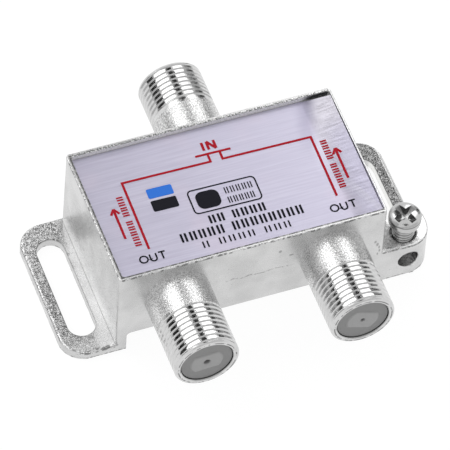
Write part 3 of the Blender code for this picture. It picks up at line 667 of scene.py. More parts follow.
def barrel_finish():
    """The same plating on the ports: sandy on the plain length, polished on the thread, with painted shade
    around the lip and into the mouth.
    """
    finish = Finish("port_metal", (0.78, 0.78, 0.78), 0.2, 1.0)
    along = finish.size(finish.y)
    plain = finish.ramp(along, *PLAIN_LENGTH)
    sand = finish.ramp(finish.noise(5.5, 2.0, 0.6), 0.40, 0.60)
    sand = finish.mix(sand, 0.40, 0.86)
    worn = finish.mix(finish.noise(1.2, 2.0), 0.54, 0.72)
    finish.tone = finish.mix(finish.times(plain, 0.8), worn, sand)
    beside = finish.times(finish.ramp(finish.y, 0.0, -1.0), output_x / MM)
    beside = finish.math("SUBTRACT", finish.size(finish.x), beside)
    above = finish.math("SUBTRACT", finish.z, port_height / MM)
    reach = finish.math("ADD", finish.times(beside, beside), finish.times(above, above))
    reach = finish.math("SQRT", reach)
    mouth = finish.ramp(along, *MOUTH_FACE)
    chipped = finish.ramp(finish.noise(2.0, 3.0, 0.6), 0.44, 0.52)
    # Painted shade: a chipped dark ring round the lip's chamfer, and darkening into the mouth
    finish.paint(0.10, finish.between(reach, *LIP_RING), mouth, chipped, 0.8)
    finish.paint(0.10, finish.ramp(reach, *MOUTH_RING), mouth, 0.35)
    finish.paint(0.15, finish.spots(PORT_MARKS), 0.5)
    strength = finish.ramp(plain, 0.0, 1.0, 0.06, 0.4, smooth=False)
    dents = finish.bump(finish.noise(1.6, 2.0, 0.6), 0.3, PORT_RELIEF)
    relief = finish.bump(finish.noise(7.5, 3.0, 0.6), strength, PORT_RELIEF, dents)
    return finish.done(finish.ramp(plain, 0.0, 1.0, 0.13, 0.22, smooth=False), relief)


def foil_finish():
    """Brushed foil with its grain along the body, with painted shade in its fold and painted highlights on
    its lifted end and along a fold at its front right corner.
    """
    finish = Finish("foil", (0.60, 0.58, 0.70), 0.36, 0.85)
    x, y = finish.x, finish.y
    streaks = finish.noise(2.2, 3.0, 0.6, (0.05, 1.6, 1.0))
    dull, clear = (0.50, 0.478, 0.595, 1.0), (0.585, 0.565, 0.68, 1.0)
    finish.tone = finish.mix(finish.ramp(streaks, 0.25, 0.75), dull, clear)
    blush = finish.ramp(finish.noise(0.12, 2.0), 0.5, 0.75, 0.0, 0.35)
    finish.paint((0.64, 0.56, 0.66, 1.0), blush)
    fold = FOIL_RAMP[0] / MM
    bend = finish.ramp(finish.noise(0.5, 2.0), 0.3, 0.7, -0.1, 0.1)
    bend = finish.math("ADD", finish.math("MULTIPLY_ADD", y, -FOLD_SLANT, x), bend)
    lifted = finish.times(finish.ramp(bend, fold - 2.2, fold + 0.2), finish.ramp(y, -3.0, 9.0))
    # Painted highlight on the lifted end
    finish.paint((0.93, 0.90, 1.0, 1.0), lifted)
    right_end = finish.times(finish.ramp(x, fold + 0.4, fold + 3.6), finish.ramp(y, 8.0, 2.0))
    # Painted highlight on the lifted right end, mostly at the front
    finish.paint((0.84, 0.81, 1.0, 1.0), right_end, 0.75)
    crease = finish.between(bend, fold - 4.4, fold - 2.4, fold - 2.2, fold - 0.6)
    # Painted shade in the fold
    finish.paint((0.28, 0.26, 0.38, 1.0), crease, finish.ramp(y, 0.0, 9.0), 0.4)
    across_corner = finish.math("MULTIPLY_ADD", x, CORNER_FOLD[0], CORNER_FOLD[2])
    across_corner = finish.math("MULTIPLY_ADD", y, CORNER_FOLD[1], across_corner)
    corner = finish.between(across_corner, -1.4, 0.0, 0.0, 0.25)
    # Painted highlight along the fold near the front right corner
    finish.paint((0.82, 0.80, 0.92, 1.0), corner, finish.ramp(y, -3.5, -6.5), 0.5)
    relief = finish.bump(streaks, 0.08, FINE_RELIEF)
    return finish.done(finish.ramp(streaks, 0.3, 0.7, 0.32, 0.42), relief)


def plug_finish():
    """Grey moulded plastic, lighter on the raised face."""
    finish = Finish("plug_plastic", (0.24, 0.24, 0.24), 0.5, 0.0)
    raised = finish.node("ShaderNodeAttribute", attribute_name=PLATEAU).node.outputs["Fac"]
    grains = finish.noise(5.0, 3.0, 0.55)
    finish.tone = finish.mix(grains, 0.25, 0.30)
    finish.paint(finish.mix(grains, 0.37, 0.43), raised)
    relief = finish.bump(grains, 0.05, FINE_RELIEF)
    return finish.done(finish.ramp(grains, 0.3, 0.7, 0.42, 0.56), relief)


def screw_finish():
    """Bright plating, with painted shade in the crossed recess, in the thread and at the edge of the head.
    """
    finish = Finish("screw_metal", (0.72, 0.72, 0.71), 0.16, 1.0)
    underside = HEAD_UNDERSIDE / MM
    shoulder = (HEAD_UNDERSIDE + HEAD_CHAMFER + HEAD_SIDE) / MM
    east = finish.math("SUBTRACT", finish.x, screw_axis.x / MM)
    east = finish.math("DIVIDE", east, HEAD_RADIUS / MM)
    north = finish.math("SUBTRACT", finish.y, screw_axis.y / MM)
    north = finish.math("DIVIDE", north, HEAD_RADIUS / MM)
    square = finish.math("ADD", finish.times(east, east), finish.times(north, north))
    dome = finish.math("SQRT", finish.larger(finish.opposite(square), 0.0))
    surface = finish.math("MULTIPLY_ADD", dome, HEAD_DOME / MM, shoulder)
    sunk = finish.ramp(finish.math("SUBTRACT", surface, finish.z), 0.03, 0.2)
    on_head = finish.ramp(finish.z, shoulder - 0.5, underside + 1.1)
    inside = finish.times(finish.ramp(square, 0.97, 0.9), sunk, on_head)
    grains = finish.noise(5.0, 3.0, 0.55)
    finish.tone = finish.mix(grains, 0.44, 0.62)
    wide = (SHANK_RADIUS / HEAD_RADIUS) ** 2
    narrow = ((SHANK_RADIUS - SCREW_GROOVE) / HEAD_RADIUS) ** 2
    below = finish.ramp(finish.z, underside, underside - 0.1)
    # Painted shade in the thread's grooves
    finish.paint(0.12, finish.ramp(square, wide, narrow), below, 0.8)
    edge = finish.math("SUBTRACT", finish.z, shoulder)
    # Painted shade along the edge of the head
    finish.paint(0.10, finish.between(edge, -0.14, -0.06, 0.06, 0.14), 0.75)
    # Painted shade in the crossed recess
    finish.paint(0.26, inside)
    roughness = finish.ramp(inside, 0.0, 1.0, 0.16, 0.35, smooth=False)
    return finish.done(roughness, finish.bump(grains, 0.08, FINE_RELIEF))


def plain_finish(name, colour, roughness, metallic, grain=6.0, depth=0.1, spread=0.12, specular=0.5):
    """One colour with a fine grain in its tone, gloss and surface."""
    finish = Finish(name, colour, roughness, metallic, specular)
    grains = finish.noise(grain, 3.0, 0.55)
    dark = (*(channel * (1 - spread) for channel in colour), 1.0)
    light = (*(min(1.0, channel * (1 + spread)) for channel in colour), 1.0)
    finish.tone = finish.mix(grains, dark, light)
    gloss = finish.ramp(grains, 0.3, 0.7, roughness * 0.85, roughness * 1.15)
    return finish.done(gloss, finish.bump(grains, depth, FINE_RELIEF))


def ink(name, colour):
    """Print, with a fainter and finer grain than the solid pieces."""
    return plain_finish(name, colour, INK_ROUGHNESS, 0.0, 8.0, 0.03, 0.1, INK_SPECULAR)


def shifted(outline, distance=-BODY_OFFSET):
    return [(x + distance, y) for x, y in outline]


def body_outline(inset):
    outline = rectangle(BODY_LENGTH - 2 * inset, BODY_WIDTH - 2 * inset, BODY_CORNER_RADIUS)
    return shifted(outline)


def ears_outline(inset):
    inset += PLANE_OFFSET
    return rectangle(2 * (ear_reach - inset), BODY_WIDTH - 2 * inset, EAR_CORNER_RADIUS, 12)


def block_outline(inset):
    left = (BODY_LENGTH - WALL) / 2 - BODY_OFFSET
    right = ear_reach - inset - 2 * PLANE_OFFSET
    front, back = 2 * PLANE_OFFSET + inset - BODY_WIDTH / 2, block_back - inset
    front_corner = (right - EAR_CORNER_RADIUS, front + EAR_CORNER_RADIUS)
    back_corner = (right - BLOCK_BACK_RADIUS, back - BLOCK_BACK_RADIUS)
    points = [(left, front)] + arc(front_corner, EAR_CORNER_RADIUS, -QUARTER, 0.0, 12)
    return points + arc(back_corner, BLOCK_BACK_RADIUS, 0.0, QUARTER) + [(left, back)]


def drafted(outline_at, top):
    return loft([(0.0, outline_at(0.0)), (top, outline_at(DRAFT_SLOPE * top))])


def foot_gap():
    half = BODY_LENGTH / 2 - WALL
    x, z = half - FOOT_CORNER_RADIUS, FOOT_HEIGHT - FOOT_CORNER_RADIUS
    outline = [(-half, -OVERRUN), (half, -OVERRUN)]
    outline += arc((x, z), FOOT_CORNER_RADIUS, 0.0, QUARTER)
    outline += arc((-x, z), FOOT_CORNER_RADIUS, QUARTER, 2 * QUARTER)
    return prism(shifted(outline), -BODY_WIDTH / 2 - OVERRUN, BODY_WIDTH / 2 + OVERRUN, "XZ")


def ear_slot(x, front, back):
    radius = SLOT_WIDTH / 2
    outline = arc((x, back - radius), radius, 0.0, 2 * QUARTER, 24)
    outline += arc((x, front + radius), radius, 2 * QUARTER, FULL, 24)
    return prism(outline, -OVERRUN, EAR_THICKNESS + OVERRUN)


def housing_cutters():
    wider = RIM_WIDTH - RIGHT_RIM_WIDTH
    recess_length = BODY_LENGTH - 2 * recess_inset + wider
    recess = rectangle(recess_length, BODY_WIDTH - 2 * recess_inset, RECESS_CORNER_RADIUS)
    pocket = rectangle(2 * pocket_half_length, 2 * pocket_half_width, POCKET_CORNER_RADIUS)
    length, width = 2 * (pocket_half_length - SEAT_STEP), 2 * (pocket_half_width - SEAT_STEP)
    hollow = rectangle(length, width, HOLLOW_CORNER_RADIUS)
    wire_reach = -BODY_WIDTH / 2 - OVERRUN
    screw_circle = arc(screw_axis.xy, SCREW_HOLE_RADIUS, 0.0, FULL, 32)[:-1]
    cutters = [
        foot_gap(),
        prism(shifted(pocket), FOOT_HEIGHT - OVERRUN, FOOT_HEIGHT + SEAT_DEPTH),
        prism(shifted(hollow), FOOT_HEIGHT, recess_floor - ROOF),
        prism(shifted(recess, wider / 2 - BODY_OFFSET), recess_floor, body_height + OVERRUN),
        ear_slot(-screw_axis.x, -SLOT_LENGTH / 2, SLOT_LENGTH / 2),
        ear_slot(screw_axis.x, block_back + BLOCK_TO_SLOT, SLOT_LENGTH / 2),
        round_bar(screw_axis.x, WIRE_HOLE_HEIGHT, WIRE_HOLE_RADIUS, wire_reach, block_back + OVERRUN),
        prism(screw_circle, SCREW_HOLE_BOTTOM, BLOCK_HEIGHT + OVERRUN),
    ]
    for x, y, _, _ in PORTS.values():
        middle = math.copysign(BODY_WIDTH / 2 - WALL / 2, y)
        reach = WALL + OVERRUN
        cutters.append(round_bar(x, port_height, BORE_RADIUS, middle - reach, middle + reach))
    return cutters


def close_steps(bm):
    """Brings the walls of body, ears and block that were held apart while joined into one plane."""
    for vert in bm.verts:
        for axis, reach in ((0, ear_reach), (1, BODY_WIDTH / 2)):
            wall = reach - DRAFT_SLOPE * vert.co.z
            if abs(wall - abs(vert.co[axis])) < SLIVER:
                vert.co[axis] = math.copysign(wall, vert.co[axis])
    bmesh.ops.remove_doubles(bm, verts=bm.verts, dist=SLIVER)
    bmesh.ops.dissolve_limit(bm, angle_limit=FLAT_ANGLE, verts=bm.verts, edges=bm.edges)


def off_slot(point):
    """How far a point lies from the middle line of the slot in the ear on its side."""
    front = block_back + BLOCK_TO_SLOT if point.x > 0 else -SLOT_LENGTH / 2
    low, high = front + SLOT_WIDTH / 2, (SLOT_LENGTH - SLOT_WIDTH) / 2
    return math.hypot(abs(point.x) - screw_axis.x, point.y - min(high, max(low, point.y)))


def rounding_at(point):
    """How far an outer edge of the casting is rounded, by where its middle lies."""
    in_length = abs(point.x + BODY_OFFSET) < (BODY_LENGTH - WALL) / 2
    if in_length and abs(point.y) < (BODY_WIDTH - WALL) / 2 and point.z < recess_floor - SLIVER:
        return 0.0
    for x, y, _, _ in PORTS.values():
        if point.y * y > 0 and math.hypot(point.x - x, point.z - port_height) < BORE_RADIUS + SLIVER:
            return 0.0
    if math.hypot(point.x - screw_axis.x, point.z - WIRE_HOLE_HEIGHT) < WIRE_HOLE_RADIUS + SLIVER:
        return HOLE_ROUNDING
    if point.z > recess_floor - SLIVER:
        return RIM_ROUNDING
    if point.z < SLIVER:
        return FOOT_ROUNDING
    if off_slot(point) < SLOT_WIDTH / 2 + SLIVER:
        return SLOT_ROUNDING
    if point.z < EAR_THICKNESS + SLIVER and abs(point.x) > BODY_LENGTH / 2:
        start, end = EAR_ROUNDING_SPAN
        share = min(1.0, max(0.0, (abs(point.x) - start) / (end - start)))
        return EAR_END_ROUNDING + (EAR_ROUNDING - EAR_END_ROUNDING) * share
    if point.z > BLOCK_HEIGHT - SLIVER and point.x > BODY_LENGTH / 2:
        return BLOCK_ROUNDING
    return FOOT_ROUNDING


def weigh_edges(bm):
    weights = bm.edges.layers.float.new("bevel_weight_edge")
    for edge in bm.edges:
        outer = len(edge.link_faces) == 2 and edge.calc_face_angle_signed() > SHARP_ANGLE
        middle = (edge.verts[0].co + edge.verts[1].co) / 2
        edge[weights] = rounding_at(middle) / EAR_ROUNDING if outer else 0.0


def add_housing(material):
    ears = drafted(ears_outline, EAR_THICKNESS)
    block = drafted(block_outline, BLOCK_HEIGHT)
    steps = [("UNION", ears), ("UNION", block)]
    steps += [("DIFFERENCE", cutter) for cutter in housing_cutters()]
    bm = combined(drafted(body_outline, body_height), steps)
    close_steps(bm)
    bmesh.ops.recalc_face_normals(bm, faces=bm.faces)
    weigh_edges(bm)
    shell = add_piece("housing_shell", bm, material, smooth=SHARP_ANGLE)
    bevel = shell.modifiers.new("edges", "BEVEL")
    bevel.width = EAR_ROUNDING
    bevel.segments = EDGE_STEPS
    bevel.limit_method = "WEIGHT"
    bevel.use_clamp_overlap = False
    shell.modifiers.new("shading", "WEIGHTED_NORMAL").keep_sharp = True
    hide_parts("housing")


def groove(phase, crest, root):
    """0 on a thread's crest and 1 in its root, for a phase in turns."""
    away = abs((phase + 0.5) % 1.0 - 0.5)
    return eased((away - crest / 2) / (0.5 - crest / 2 - root / 2))


def threaded_rows(radius, depth, pitch, low, high, crest, root, reach_at):
    """Rows of points up a right-hand thread on +Z between two heights, fading out at both ends."""
    phases = (0.0, crest / 2, crest / 2 + 0.08, 0.36, 0.5 - root / 2, 0.5)
    phases += tuple(1.0 - phase for phase in reversed(phases[1:-1]))
    turns = int((high - low) / pitch) + 3
    rows = []
    for turn in range(-1, turns):
        for phase in phases:
            row = []
            for i in range(TURN_STEPS + 1):
                angle = FULL * i / TURN_STEPS
                z = min(high, max(low, low + pitch * (turn + phase + angle / FULL - 1)))
                fade = min(1.0, (z - low) / (0.5 * pitch), (high - z) / (0.5 * pitch))
                turned = (z - low) / pitch - angle / FULL
                r = min(radius - depth * fade * groove(turned, crest, root), reach_at(z))
                row.append((r * math.cos(angle), r * math.sin(angle), z))
            rows.append(row)
    return rows


def ring(radius, z):
    angles = [FULL * i / TURN_STEPS for i in range(TURN_STEPS + 1)]
    return [(radius * math.cos(a), radius * math.sin(a), z) for a in angles]


def mouth_reach(z):
    """The largest radius at a height below the mouth, which lies at Z = 0."""
    over = z + MOUTH_ROUNDING
    if over <= 0:
        return PORT_RADIUS
    return PORT_RADIUS - MOUTH_ROUNDING + math.sqrt(max(0.0, MOUTH_ROUNDING**2 - over**2))


def port_place(name):
    """Where the middle of a port's mouth is, with Z pointing out of it."""
    x, y, tilt, _ = PORTS[name]
    return Matrix.Translation((x, y, port_height)) @ Matrix.Rotation(tilt, 4, "X")


def add_barrel(name, material):
    thread = PORTS[name][3]
    wall = BODY_WIDTH / 2 - DRAFT_SLOPE * port_height - port_reach
    root = wall - WALL / 2
    low, high = thread[0] - port_reach, thread[1] - port_reach
    rows = [ring(PORT_RADIUS, root)]
    rows += threaded_rows(
        PORT_RADIUS, PORT_GROOVE, PORT_PITCH, low, high, PORT_CREST, PORT_ROOT, mouth_reach
    )
    for angle in MOUTH_ANGLES:
        z = -MOUTH_ROUNDING * (1 - math.sin(math.radians(angle)))
        if z > high:
            rows.append(ring(mouth_reach(z), z))
    rows += [ring(MOUTH_RADIUS + LIP_WIDTH, 0.0), ring(MOUTH_RADIUS, -LIP_DEPTH)]
    rows.append(ring(MOUTH_RADIUS, -MOUTH_DEPTH))
    rows += [ring(BORE_RADIUS, -MOUTH_DEPTH), ring(BORE_RADIUS, root)]
    bm = turned_shape(rows)
    bmesh.ops.transform(bm, matrix=port_place(name), verts=bm.verts)
    barrel = add_piece(f"port_barrel_{name}", bm, material, smooth=SHARP_ANGLE)


def plateau_height(x, y):
    """0 on the ring and 1 on the raised face of a plug."""
    inside = min(PLATEAU_RADIUS - math.hypot(x, y), PLATEAU_HALF_FLAT - abs(y))
    return eased(inside / PLATEAU_SHOULDER)


def add_insulator(name, material):
    """The plug of a port: a ring, a raised face with two flats and its pin hole."""
    low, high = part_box(f"insulator_{name}")
    back = -(high.y - low.y) - (port_reach - max(abs(low.y), abs(high.y)))
    sleeve, shoulder = BORE_RADIUS - SLEEVE_GAP, SLEEVE_GAP - MOUTH_DEPTH
    hole, edge = PIN_HOLES[name], PLUG_RADIUS - HOLE_EDGE
    rows = [ring(hole * HOLE_TAPER, back), ring(sleeve, back), ring(sleeve, shoulder)]
    rows += [ring(PLUG_RADIUS, shoulder), ring(PLUG_RADIUS, -FACE_RECESS - PLUG_EDGE)]
    for step in range(FACE_STEPS + 1):
        reach = edge - (edge - hole) * step / FACE_STEPS
        dip = HOLE_EDGE * max(0.0, 1 - (reach - hole) / HOLE_EDGE_REACH) ** 2
        row = []
        for px, py, _ in ring(reach, 0.0):
            row.append((px, py, -FACE_RECESS + PLATEAU_RISE * plateau_height(px, py) - dip))
        rows.append(row)
    rows.append(ring(hole * HOLE_TAPER, -FACE_RECESS - PLUG_EDGE))
    bm = turned_shape(rows)
    raised = bm.verts.layers.float.new(PLATEAU)
    for vert in bm.verts:
        if vert.co.z > -FACE_RECESS - HOLE_EDGE - MERGE:
            vert[raised] = plateau_height(vert.co.x, vert.co.y)
    turn = port_place(name) @ Matrix.Rotation(INSULATOR_TURNS[name], 4, "Z")
    bmesh.ops.transform(bm, matrix=turn, verts=bm.verts)
    plug = add_piece(f"plug_{name}", bm, material, smooth=math.radians(50))
    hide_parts(f"insulator_{name}")


def foil_height(x, y):
    """Height of the foil's upper face: flat, then curving up to its right end, most of all at the back."""
    start, end = FOIL_RAMP
    lift = (FOIL_LIFTED_TOP - FOIL_TOP) * max(0.0, (x - start) / (end - start)) ** 1.5
    return FOIL_TOP + lift * (FRONT_LIFT + (1 - FRONT_LIFT) * (0.5 + y / (BODY_WIDTH - 2 * recess_inset)))


def foil_edges(x):
    """Front and back edge of the foil."""
    reach = BODY_WIDTH / 2 - recess_inset - FOIL_GAP
    start, end = FOIL_RAMP
    return -reach, reach - FOIL_TAPER * max(0.0, (x - start) / (end - start))


def add_label(material):
    left = recess_inset + FOIL_GAP - BODY_LENGTH / 2 - BODY_OFFSET
    start, end = FOIL_RAMP
    places = [left + (start - left) * step / 40 for step in range(40)]
    places += [start + (end - start) * step / 24 for step in range(25)]
    rows = []
    for x in places:
        front, back = foil_edges(x)
        front_top, back_top = foil_height(x, front), foil_height(x, back)
        under = [(x, front, front_top - FOIL_THICKNESS), (x, back, back_top - FOIL_THICKNESS)]
        rows.append(under + [(x, back, back_top), (x, front, front_top)])
    bm = grid(rows)
    bmesh.ops.holes_fill(bm, edges=bm.edges)
    foil = add_piece("label_foil", bm, material, smooth=math.radians(30))
    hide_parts("label")


def stroke(points, width):
    """A flat ribbon along a path of (x, y) points, with mitred joints, as two edges."""
    left, right = [], []
    for i, point in enumerate(points):
        here = Vector(point)
        before = (here - Vector(points[i - 1])).normalized() if i else None
        after = (Vector(points[i + 1]) - here).normalized() if i + 1 < len(points) else None
        along = ((before or after) + (after or before)).normalized()
        across = Vector((-along.y, along.x))
        reach = width / 2 / max(0.3, along.dot(before or after))
        left.append(here + across * reach)
        right.append(here - across * reach)
    return left + right[::-1]


def on_foil(x, y):
    """A point of the print, which lies a little turned on the foil."""
    turned = Matrix.Rotation(PRINT_TURN, 2) @ Vector((x, y))
    return (turned.x, turned.y, foil_height(turned.x, turned.y) + PRINT_LIFT)


def add_print(name, ribbons, material):
    """Flat shapes on the foil. Each ribbon is a list of left and right edge points."""
    bm = bmesh.new()
    for number, edge in enumerate(ribbons):
        half = len(edge) // 2
        lift = Vector((0, 0, number % 4 * RIBBON_STEP))
        verts = [bm.verts.new(Vector(on_foil(*point)) + lift) for point in edge]
        for i in range(half - 1):
            bm.faces.new((verts[i], verts[i + 1], verts[-i - 2], verts[-i - 1]))
    add_piece(name, bm, material)


def add_field(name, field, material):
    """A plain field of colour on the foil."""
    bm = bmesh.new()
    bm.faces.new([bm.verts.new(on_foil(x * MM, y * MM)) for x, y in block_at(*field)])
    add_piece(name, bm, material)


def block_at(x, y, length, width, radius):
    return [(x + u, y + v) for u, v in rectangle(length, width, radius)]


def line(path, width, origin=(0.0, 0.0), size=1.0):
    """A ribbon along a path, with all in mm."""
    points = [((origin[0] + size * x) * MM, (origin[1] + size * y) * MM) for x, y in path]
    return stroke(points, width * MM)


def stems(span, rows, groups, width, upright=True):
    """A row of plain bars in place of small print, in groups like words."""
    cell = (span[1] - span[0]) / (sum(groups) + WORD_GAP * (len(groups) - 1))
    place = span[0]
    ribbons = []
    for group in groups:
        for _ in range(group):
            for share in (0.24, 0.68):
                ends = [(place + cell * share, height) for height in rows]
                ribbons.append(line(ends if upright else [end[::-1] for end in ends], width))
            place += cell
        place += WORD_GAP * cell
    return ribbons


LETTERS = {  # paths in a letter of height 1
    "I": [[(0.0, 0.0), (0.0, 1.0)]],
    "N": [[(0.0, 0.0), (0.0, 1.0)], [(0.0, 1.0), (0.72, 0.0)], [(0.72, 0.0), (0.72, 1.0)]],
    "O": [arc((0.46, 0.5), 0.46, 0.0, FULL, 24)],
    "U": [[(0.0, 1.0), (0.0, 0.36), *arc((0.36, 0.36), 0.36, math.pi, FULL, 10), (0.72, 1.0)]],
    "T": [[(0.0, 1.0), (0.8, 1.0)], [(0.4, 1.0), (0.4, 0.0)]],
}
LETTER_WIDTHS = {"I": 0.0, "N": 0.72, "O": 0.92, "U": 0.72, "T": 0.8}


def word(text, centre, height, width, gap):
    length = sum(LETTER_WIDTHS[c] for c in text) + gap * (len(text) - 1)
    x, y = centre[0] - length * height / 2, centre[1] - height / 2
    ribbons = []
    for c in text:
        ribbons += [line(path, width, (x, y), height) for path in LETTERS[c]]
        x += (LETTER_WIDTHS[c] + gap) * height
    return ribbons


def add_prints(red, black, blue):
    ribbons = [line(path, DIAGRAM_LINE) for path in DIAGRAM]
    for tail, tip in ARROWS:
        ribbons.append(line([tail, tip], DIAGRAM_LINE))
        for side in (-1, 1):
            barb = (tip[0] + side * BARB[0], tip[1] - BARB[1])
            ribbons.append(line([tip, barb], DIAGRAM_LINE))
    ribbons += word(*RED_WORD)
    for row in LYING_ROWS:
        ribbons += stems(*row, upright=False)
    add_print("label_diagram", ribbons, red)
    add_print("label_port_words", [one for text in BLACK_WORDS for one in word(*text)], black)
    rows = [one for row in UPRIGHT_ROWS for one in stems(*row)]
    frame_path = block_at(*FRAME)
    rows.append(line(frame_path + frame_path[:1], FRAME_LINE))
    add_print("label_plain_rows", rows, black)
    add_field("label_blue_field", BLUE_FIELD, blue)
    add_field("label_centre_field", CENTRE_FIELD, black)
    add_field("label_side_field", SIDE_FIELD, black)


def add_screw(material):
    """A pan-head screw with a crossed recess and a thread on its shank."""
    tip = screw_low.z - HEAD_UNDERSIDE
    shoulder = HEAD_CHAMFER + HEAD_SIDE
    rows = [ring(AXIS_HOLE, tip), ring(SHANK_RADIUS - SCREW_GROOVE, tip)]

    def reach_at(z):
        return min(SHANK_RADIUS, SHANK_RADIUS - SCREW_TIP_CHAMFER + (z - tip))

    sizes = (SHANK_RADIUS, SCREW_GROOVE, SCREW_PITCH, tip, -SCREW_NECK, SCREW_CREST, SCREW_ROOT)
    rows += threaded_rows(*sizes, reach_at)
    rows += [ring(SHANK_RADIUS - NECK_GROOVE, 0.0), ring(HEAD_RADIUS - HEAD_CHAMFER, 0.0)]
    for radius, z in arc((HEAD_RADIUS - HEAD_CHAMFER, HEAD_CHAMFER), HEAD_CHAMFER, -QUARTER, 0.0)[1:]:
        rows.append(ring(radius, z))
    for radius, height in arc((0, 0), 1.0, 0.0, QUARTER, 12)[:-1]:
        rows.append(ring(HEAD_RADIUS * radius, shoulder + HEAD_DOME * height))
    top = shoulder + HEAD_DOME
    rows.append(ring(AXIS_HOLE, top))
    bm = turned_shape(rows)
    steps = []
    for length, width in ((CROSS_LENGTH, CROSS_WIDTH), (CROSS_WIDTH, CROSS_LENGTH)):
        shares = CROSS_FOOT if length > width else CROSS_FOOT[::-1]
        low = rectangle(length * shares[0], width * shares[1], CROSS_CORNER, 2)
        high = rectangle(length, width, CROSS_CORNER, 2)
        cutter = loft([(top - CROSS_DEPTH, low), (top + CROSS_CORNER, high)])
        bmesh.ops.rotate(cutter, verts=cutter.verts, matrix=Matrix.Rotation(CROSS_TURN, 3, "Z"))
        steps.append(("DIFFERENCE", cutter))
    bm = combined(bm, steps)
    bmesh.ops.translate(bm, verts=bm.verts, vec=(screw_axis.x, screw_axis.y, HEAD_UNDERSIDE))
    screw = add_piece("clamping_screw", bm, material, body="screw", smooth=math.radians(40))
    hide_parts("ground_screw")


def add_camera():
    azimuth, elevation, roll = CAMERA_AZIMUTH, CAMERA_ELEVATION, CAMERA_ROLL
    flat = math.cos(elevation)
    back = Vector((math.sin(azimuth) * flat, -math.cos(azimuth) * flat, math.sin(elevation)))
    level = Vector((math.cos(azimuth), math.sin(azimuth), 0.0))
    upright = back.cross(level)
    right = math.cos(roll) * level + math.sin(roll) * upright
    up = back.cross(right)
    data = bpy.data.cameras.new("camera")
    data.lens = CAMERA_LENS
    data.sensor_width = CAMERA_SENSOR
    data.shift_x, data.shift_y = CAMERA_SHIFT
    data.clip_start, data.clip_end = 0.01, 10.0
    camera = bpy.data.objects.new("camera", data)
    bpy.context.scene.collection.objects.link(camera)
    turn = Matrix((right, up, back)).transposed().to_4x4()
    camera.matrix_world = Matrix.Translation(CAMERA_TARGET + back * CAMERA_DISTANCE) @ turn
    bpy.context.scene.camera = camera


def add_world(light):
    world = bpy.data.worlds.new("studio")
    bpy.context.scene.world = world
    nodes = Nodes(world, "World Output")
    lighting = nodes.tree.nodes["Background"]
    lighting.inputs["Color"].default_value = grey(1.0)
    lighting.inputs["Strength"].default_value = light
    backdrop = nodes.node("ShaderNodeBackground", grey(1.0))
    seen = nodes.seen_directly()
    nodes.feed(nodes.end, nodes.node("ShaderNodeMixShader", seen, lighting.outputs[0], backdrop))


def add_floor(size, share):
    """A pale floor. The share is how much of what a camera sees of it is the plain backdrop."""
    bm = bmesh.new()
    bmesh.ops.create_grid(bm, x_segments=4, y_segments=4, size=size / 2)
    paper = Finish("floor_paper", (0.90, 0.90, 0.90), 0.9, 0.0, 0.0)
    glow = paper.node("ShaderNodeEmission", grey(1.0), FLOOR_GLOW)
    seen = paper.times(paper.seen_directly(), share)
    above = paper.node("ShaderNodeMixShader", seen, paper.shader.outputs[0], glow)
    clear = paper.node("ShaderNodeBsdfTransparent")  # what the floor is from below
    below = paper.node("ShaderNodeNewGeometry").node.outputs["Backfacing"]
    paper.feed(paper.end, paper.node("ShaderNodeMixShader", below, above, clear))
    floor = add_object("floor", bm, paper.material)
    floor.location.z = -FLOOR_DROP


def facing(direction, distance):
    """A place at a distance from the object, turned so that its -Z looks at it."""
    away = Vector(direction).normalized()
    place = CAMERA_TARGET + away * distance
    return Matrix.Translation(place) @ away.to_track_quat("Z", "Y").to_matrix().to_4x4()


def across(degrees, lean=0.551):
    """A direction at an angle over the splitter from its right side, leaning to the back."""
    angle = math.radians(degrees)
    flat = math.sqrt(1 - lean * lean)
    return (flat * math.cos(angle), lean, flat * math.sin(angle))


WORLD_LIGHT = 0.62
FLOOR_SIZE = 6.0
FLOOR_SHARE = 0.88
FLOOR_GLOW = 1.06
FRONT_GLOW = 0.75
GREY_GLOW = 0.42
LAMPS = [  # direction, distance, width, height and radiance
    ("lamp_left", across(124), 0.9, 0.62, 0.7, 1.5),
    ("lamp_right", across(50), 0.9, 0.5, 0.7, 1.15),
]
FLAGS = [
    ("flag_left", across(168), 0.6, 0.22, 0.4),
    ("flag_top", across(85), 0.6, 0.16, 0.4),
    ("flag_right", across(15), 0.6, 0.07, 0.4),
    ("flag_front", (0.05, -0.25, 0.965), 0.55, 0.15, 0.15),
]
GREY_CARDS = [
    ("grey_left", across(168), 0.62, 0.38, 0.42),
    ("grey_top", across(87), 0.62, 0.24, 0.42),
    ("grey_right", across(14), 0.62, 0.28, 0.42),
]
FRONT_CARD = ((0.245, -0.80, 0.55), 0.6, 1.2, 0.6)


def add_lamp(name, direction, distance, width, height, radiance):
    data = bpy.data.lights.new(name, "AREA")
    data.shape = "RECTANGLE"
    data.size, data.size_y = width, height
    data.energy = radiance * math.pi * width * height
    lamp = bpy.data.objects.new(name, data)
    lamp.matrix_world = facing(direction, distance)
    lamp.visible_camera = False
    bpy.context.scene.collection.objects.link(lamp)


def card_material(name, tone, glow=0.0):
    """Plain matt card for the studio, dark or lit."""
    card = Finish(name, (tone, tone, tone), 1.0, 0.0, 0.0)
    card.set("Emission Color", grey(1.0))
    card.set("Emission Strength", glow)
    return card.material


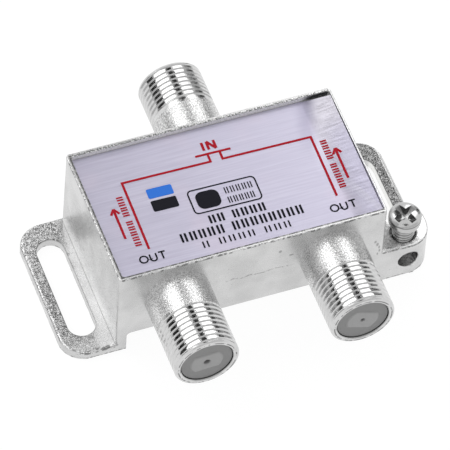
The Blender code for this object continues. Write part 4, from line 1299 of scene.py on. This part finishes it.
def add_card(name, material, direction, distance, width, height):
    """A studio card that only the metal reflects."""
    bm = bmesh.new()
    bmesh.ops.create_grid(bm, x_segments=1, y_segments=1, size=0.5)
    bmesh.ops.scale(bm, verts=bm.verts, vec=(width, height, 1.0))
    card = add_object(name, bm, material)
    card.matrix_world = facing(direction, distance)
    card.visible_camera = False
    card.visible_diffuse = False
    card.visible_shadow = False
    card.visible_transmission = False


def dress_inner_nodes():
    finishes = {
        "bottom_cover": plain_finish("cover_metal", (0.62, 0.63, 0.64), 0.35, 1.0),
        "circuit_board": plain_finish("board_laminate", (0.52, 0.40, 0.19), 0.6, 0.0),
        "contact": plain_finish("contact_metal", (0.80, 0.64, 0.34), 0.25, 1.0),
        "core": plain_finish("ferrite", (0.05, 0.05, 0.055), 0.7, 0.0),
        "winding": plain_finish("enamelled_wire", (0.62, 0.24, 0.10), 0.3, 1.0),
        "diode": plain_finish("diode_body", (0.03, 0.03, 0.035), 0.4, 0.0),
        "resistor": plain_finish("resistor_body", (0.62, 0.50, 0.34), 0.45, 0.0),
        "capacitor": plain_finish("capacitor_body", (0.60, 0.30, 0.10), 0.5, 0.0),
    }
    for name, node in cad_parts.items():
        for part, material in finishes.items():
            if part in name:
                node.material_slots[0].material = material


def main():
    add_camera()
    add_world(WORLD_LIGHT)
    add_floor(FLOOR_SIZE, FLOOR_SHARE)
    for lamp in LAMPS:
        add_lamp(*lamp)
    dark, pale = card_material("flag_cloth", 0.02), card_material("grey_card", 0.0, GREY_GLOW)
    lit = card_material("front_card", 0.0, FRONT_GLOW)
    for name, *place in FLAGS:
        add_card(name, dark, *place)
    for name, *place in GREY_CARDS:
        add_card(name, pale, *place)
    add_card("front_card", lit, *FRONT_CARD)
    cast, port, plug = cast_finish(), barrel_finish(), plug_finish()
    red, black = ink("red_ink", (0.44, 0.010, 0.022)), ink("black_ink", (0.008, 0.008, 0.014))
    blue = ink("blue_ink", (0.04, 0.20, 0.76))
    add_housing(cast)
    for name in PORTS:
        add_barrel(name, port)
        add_insulator(name, plug)
    add_label(foil_finish())
    add_prints(red, black, blue)
    add_screw(screw_finish())
    dress_inner_nodes()


main()
bpy.context.scene.view_settings.view_transform = "Standard"
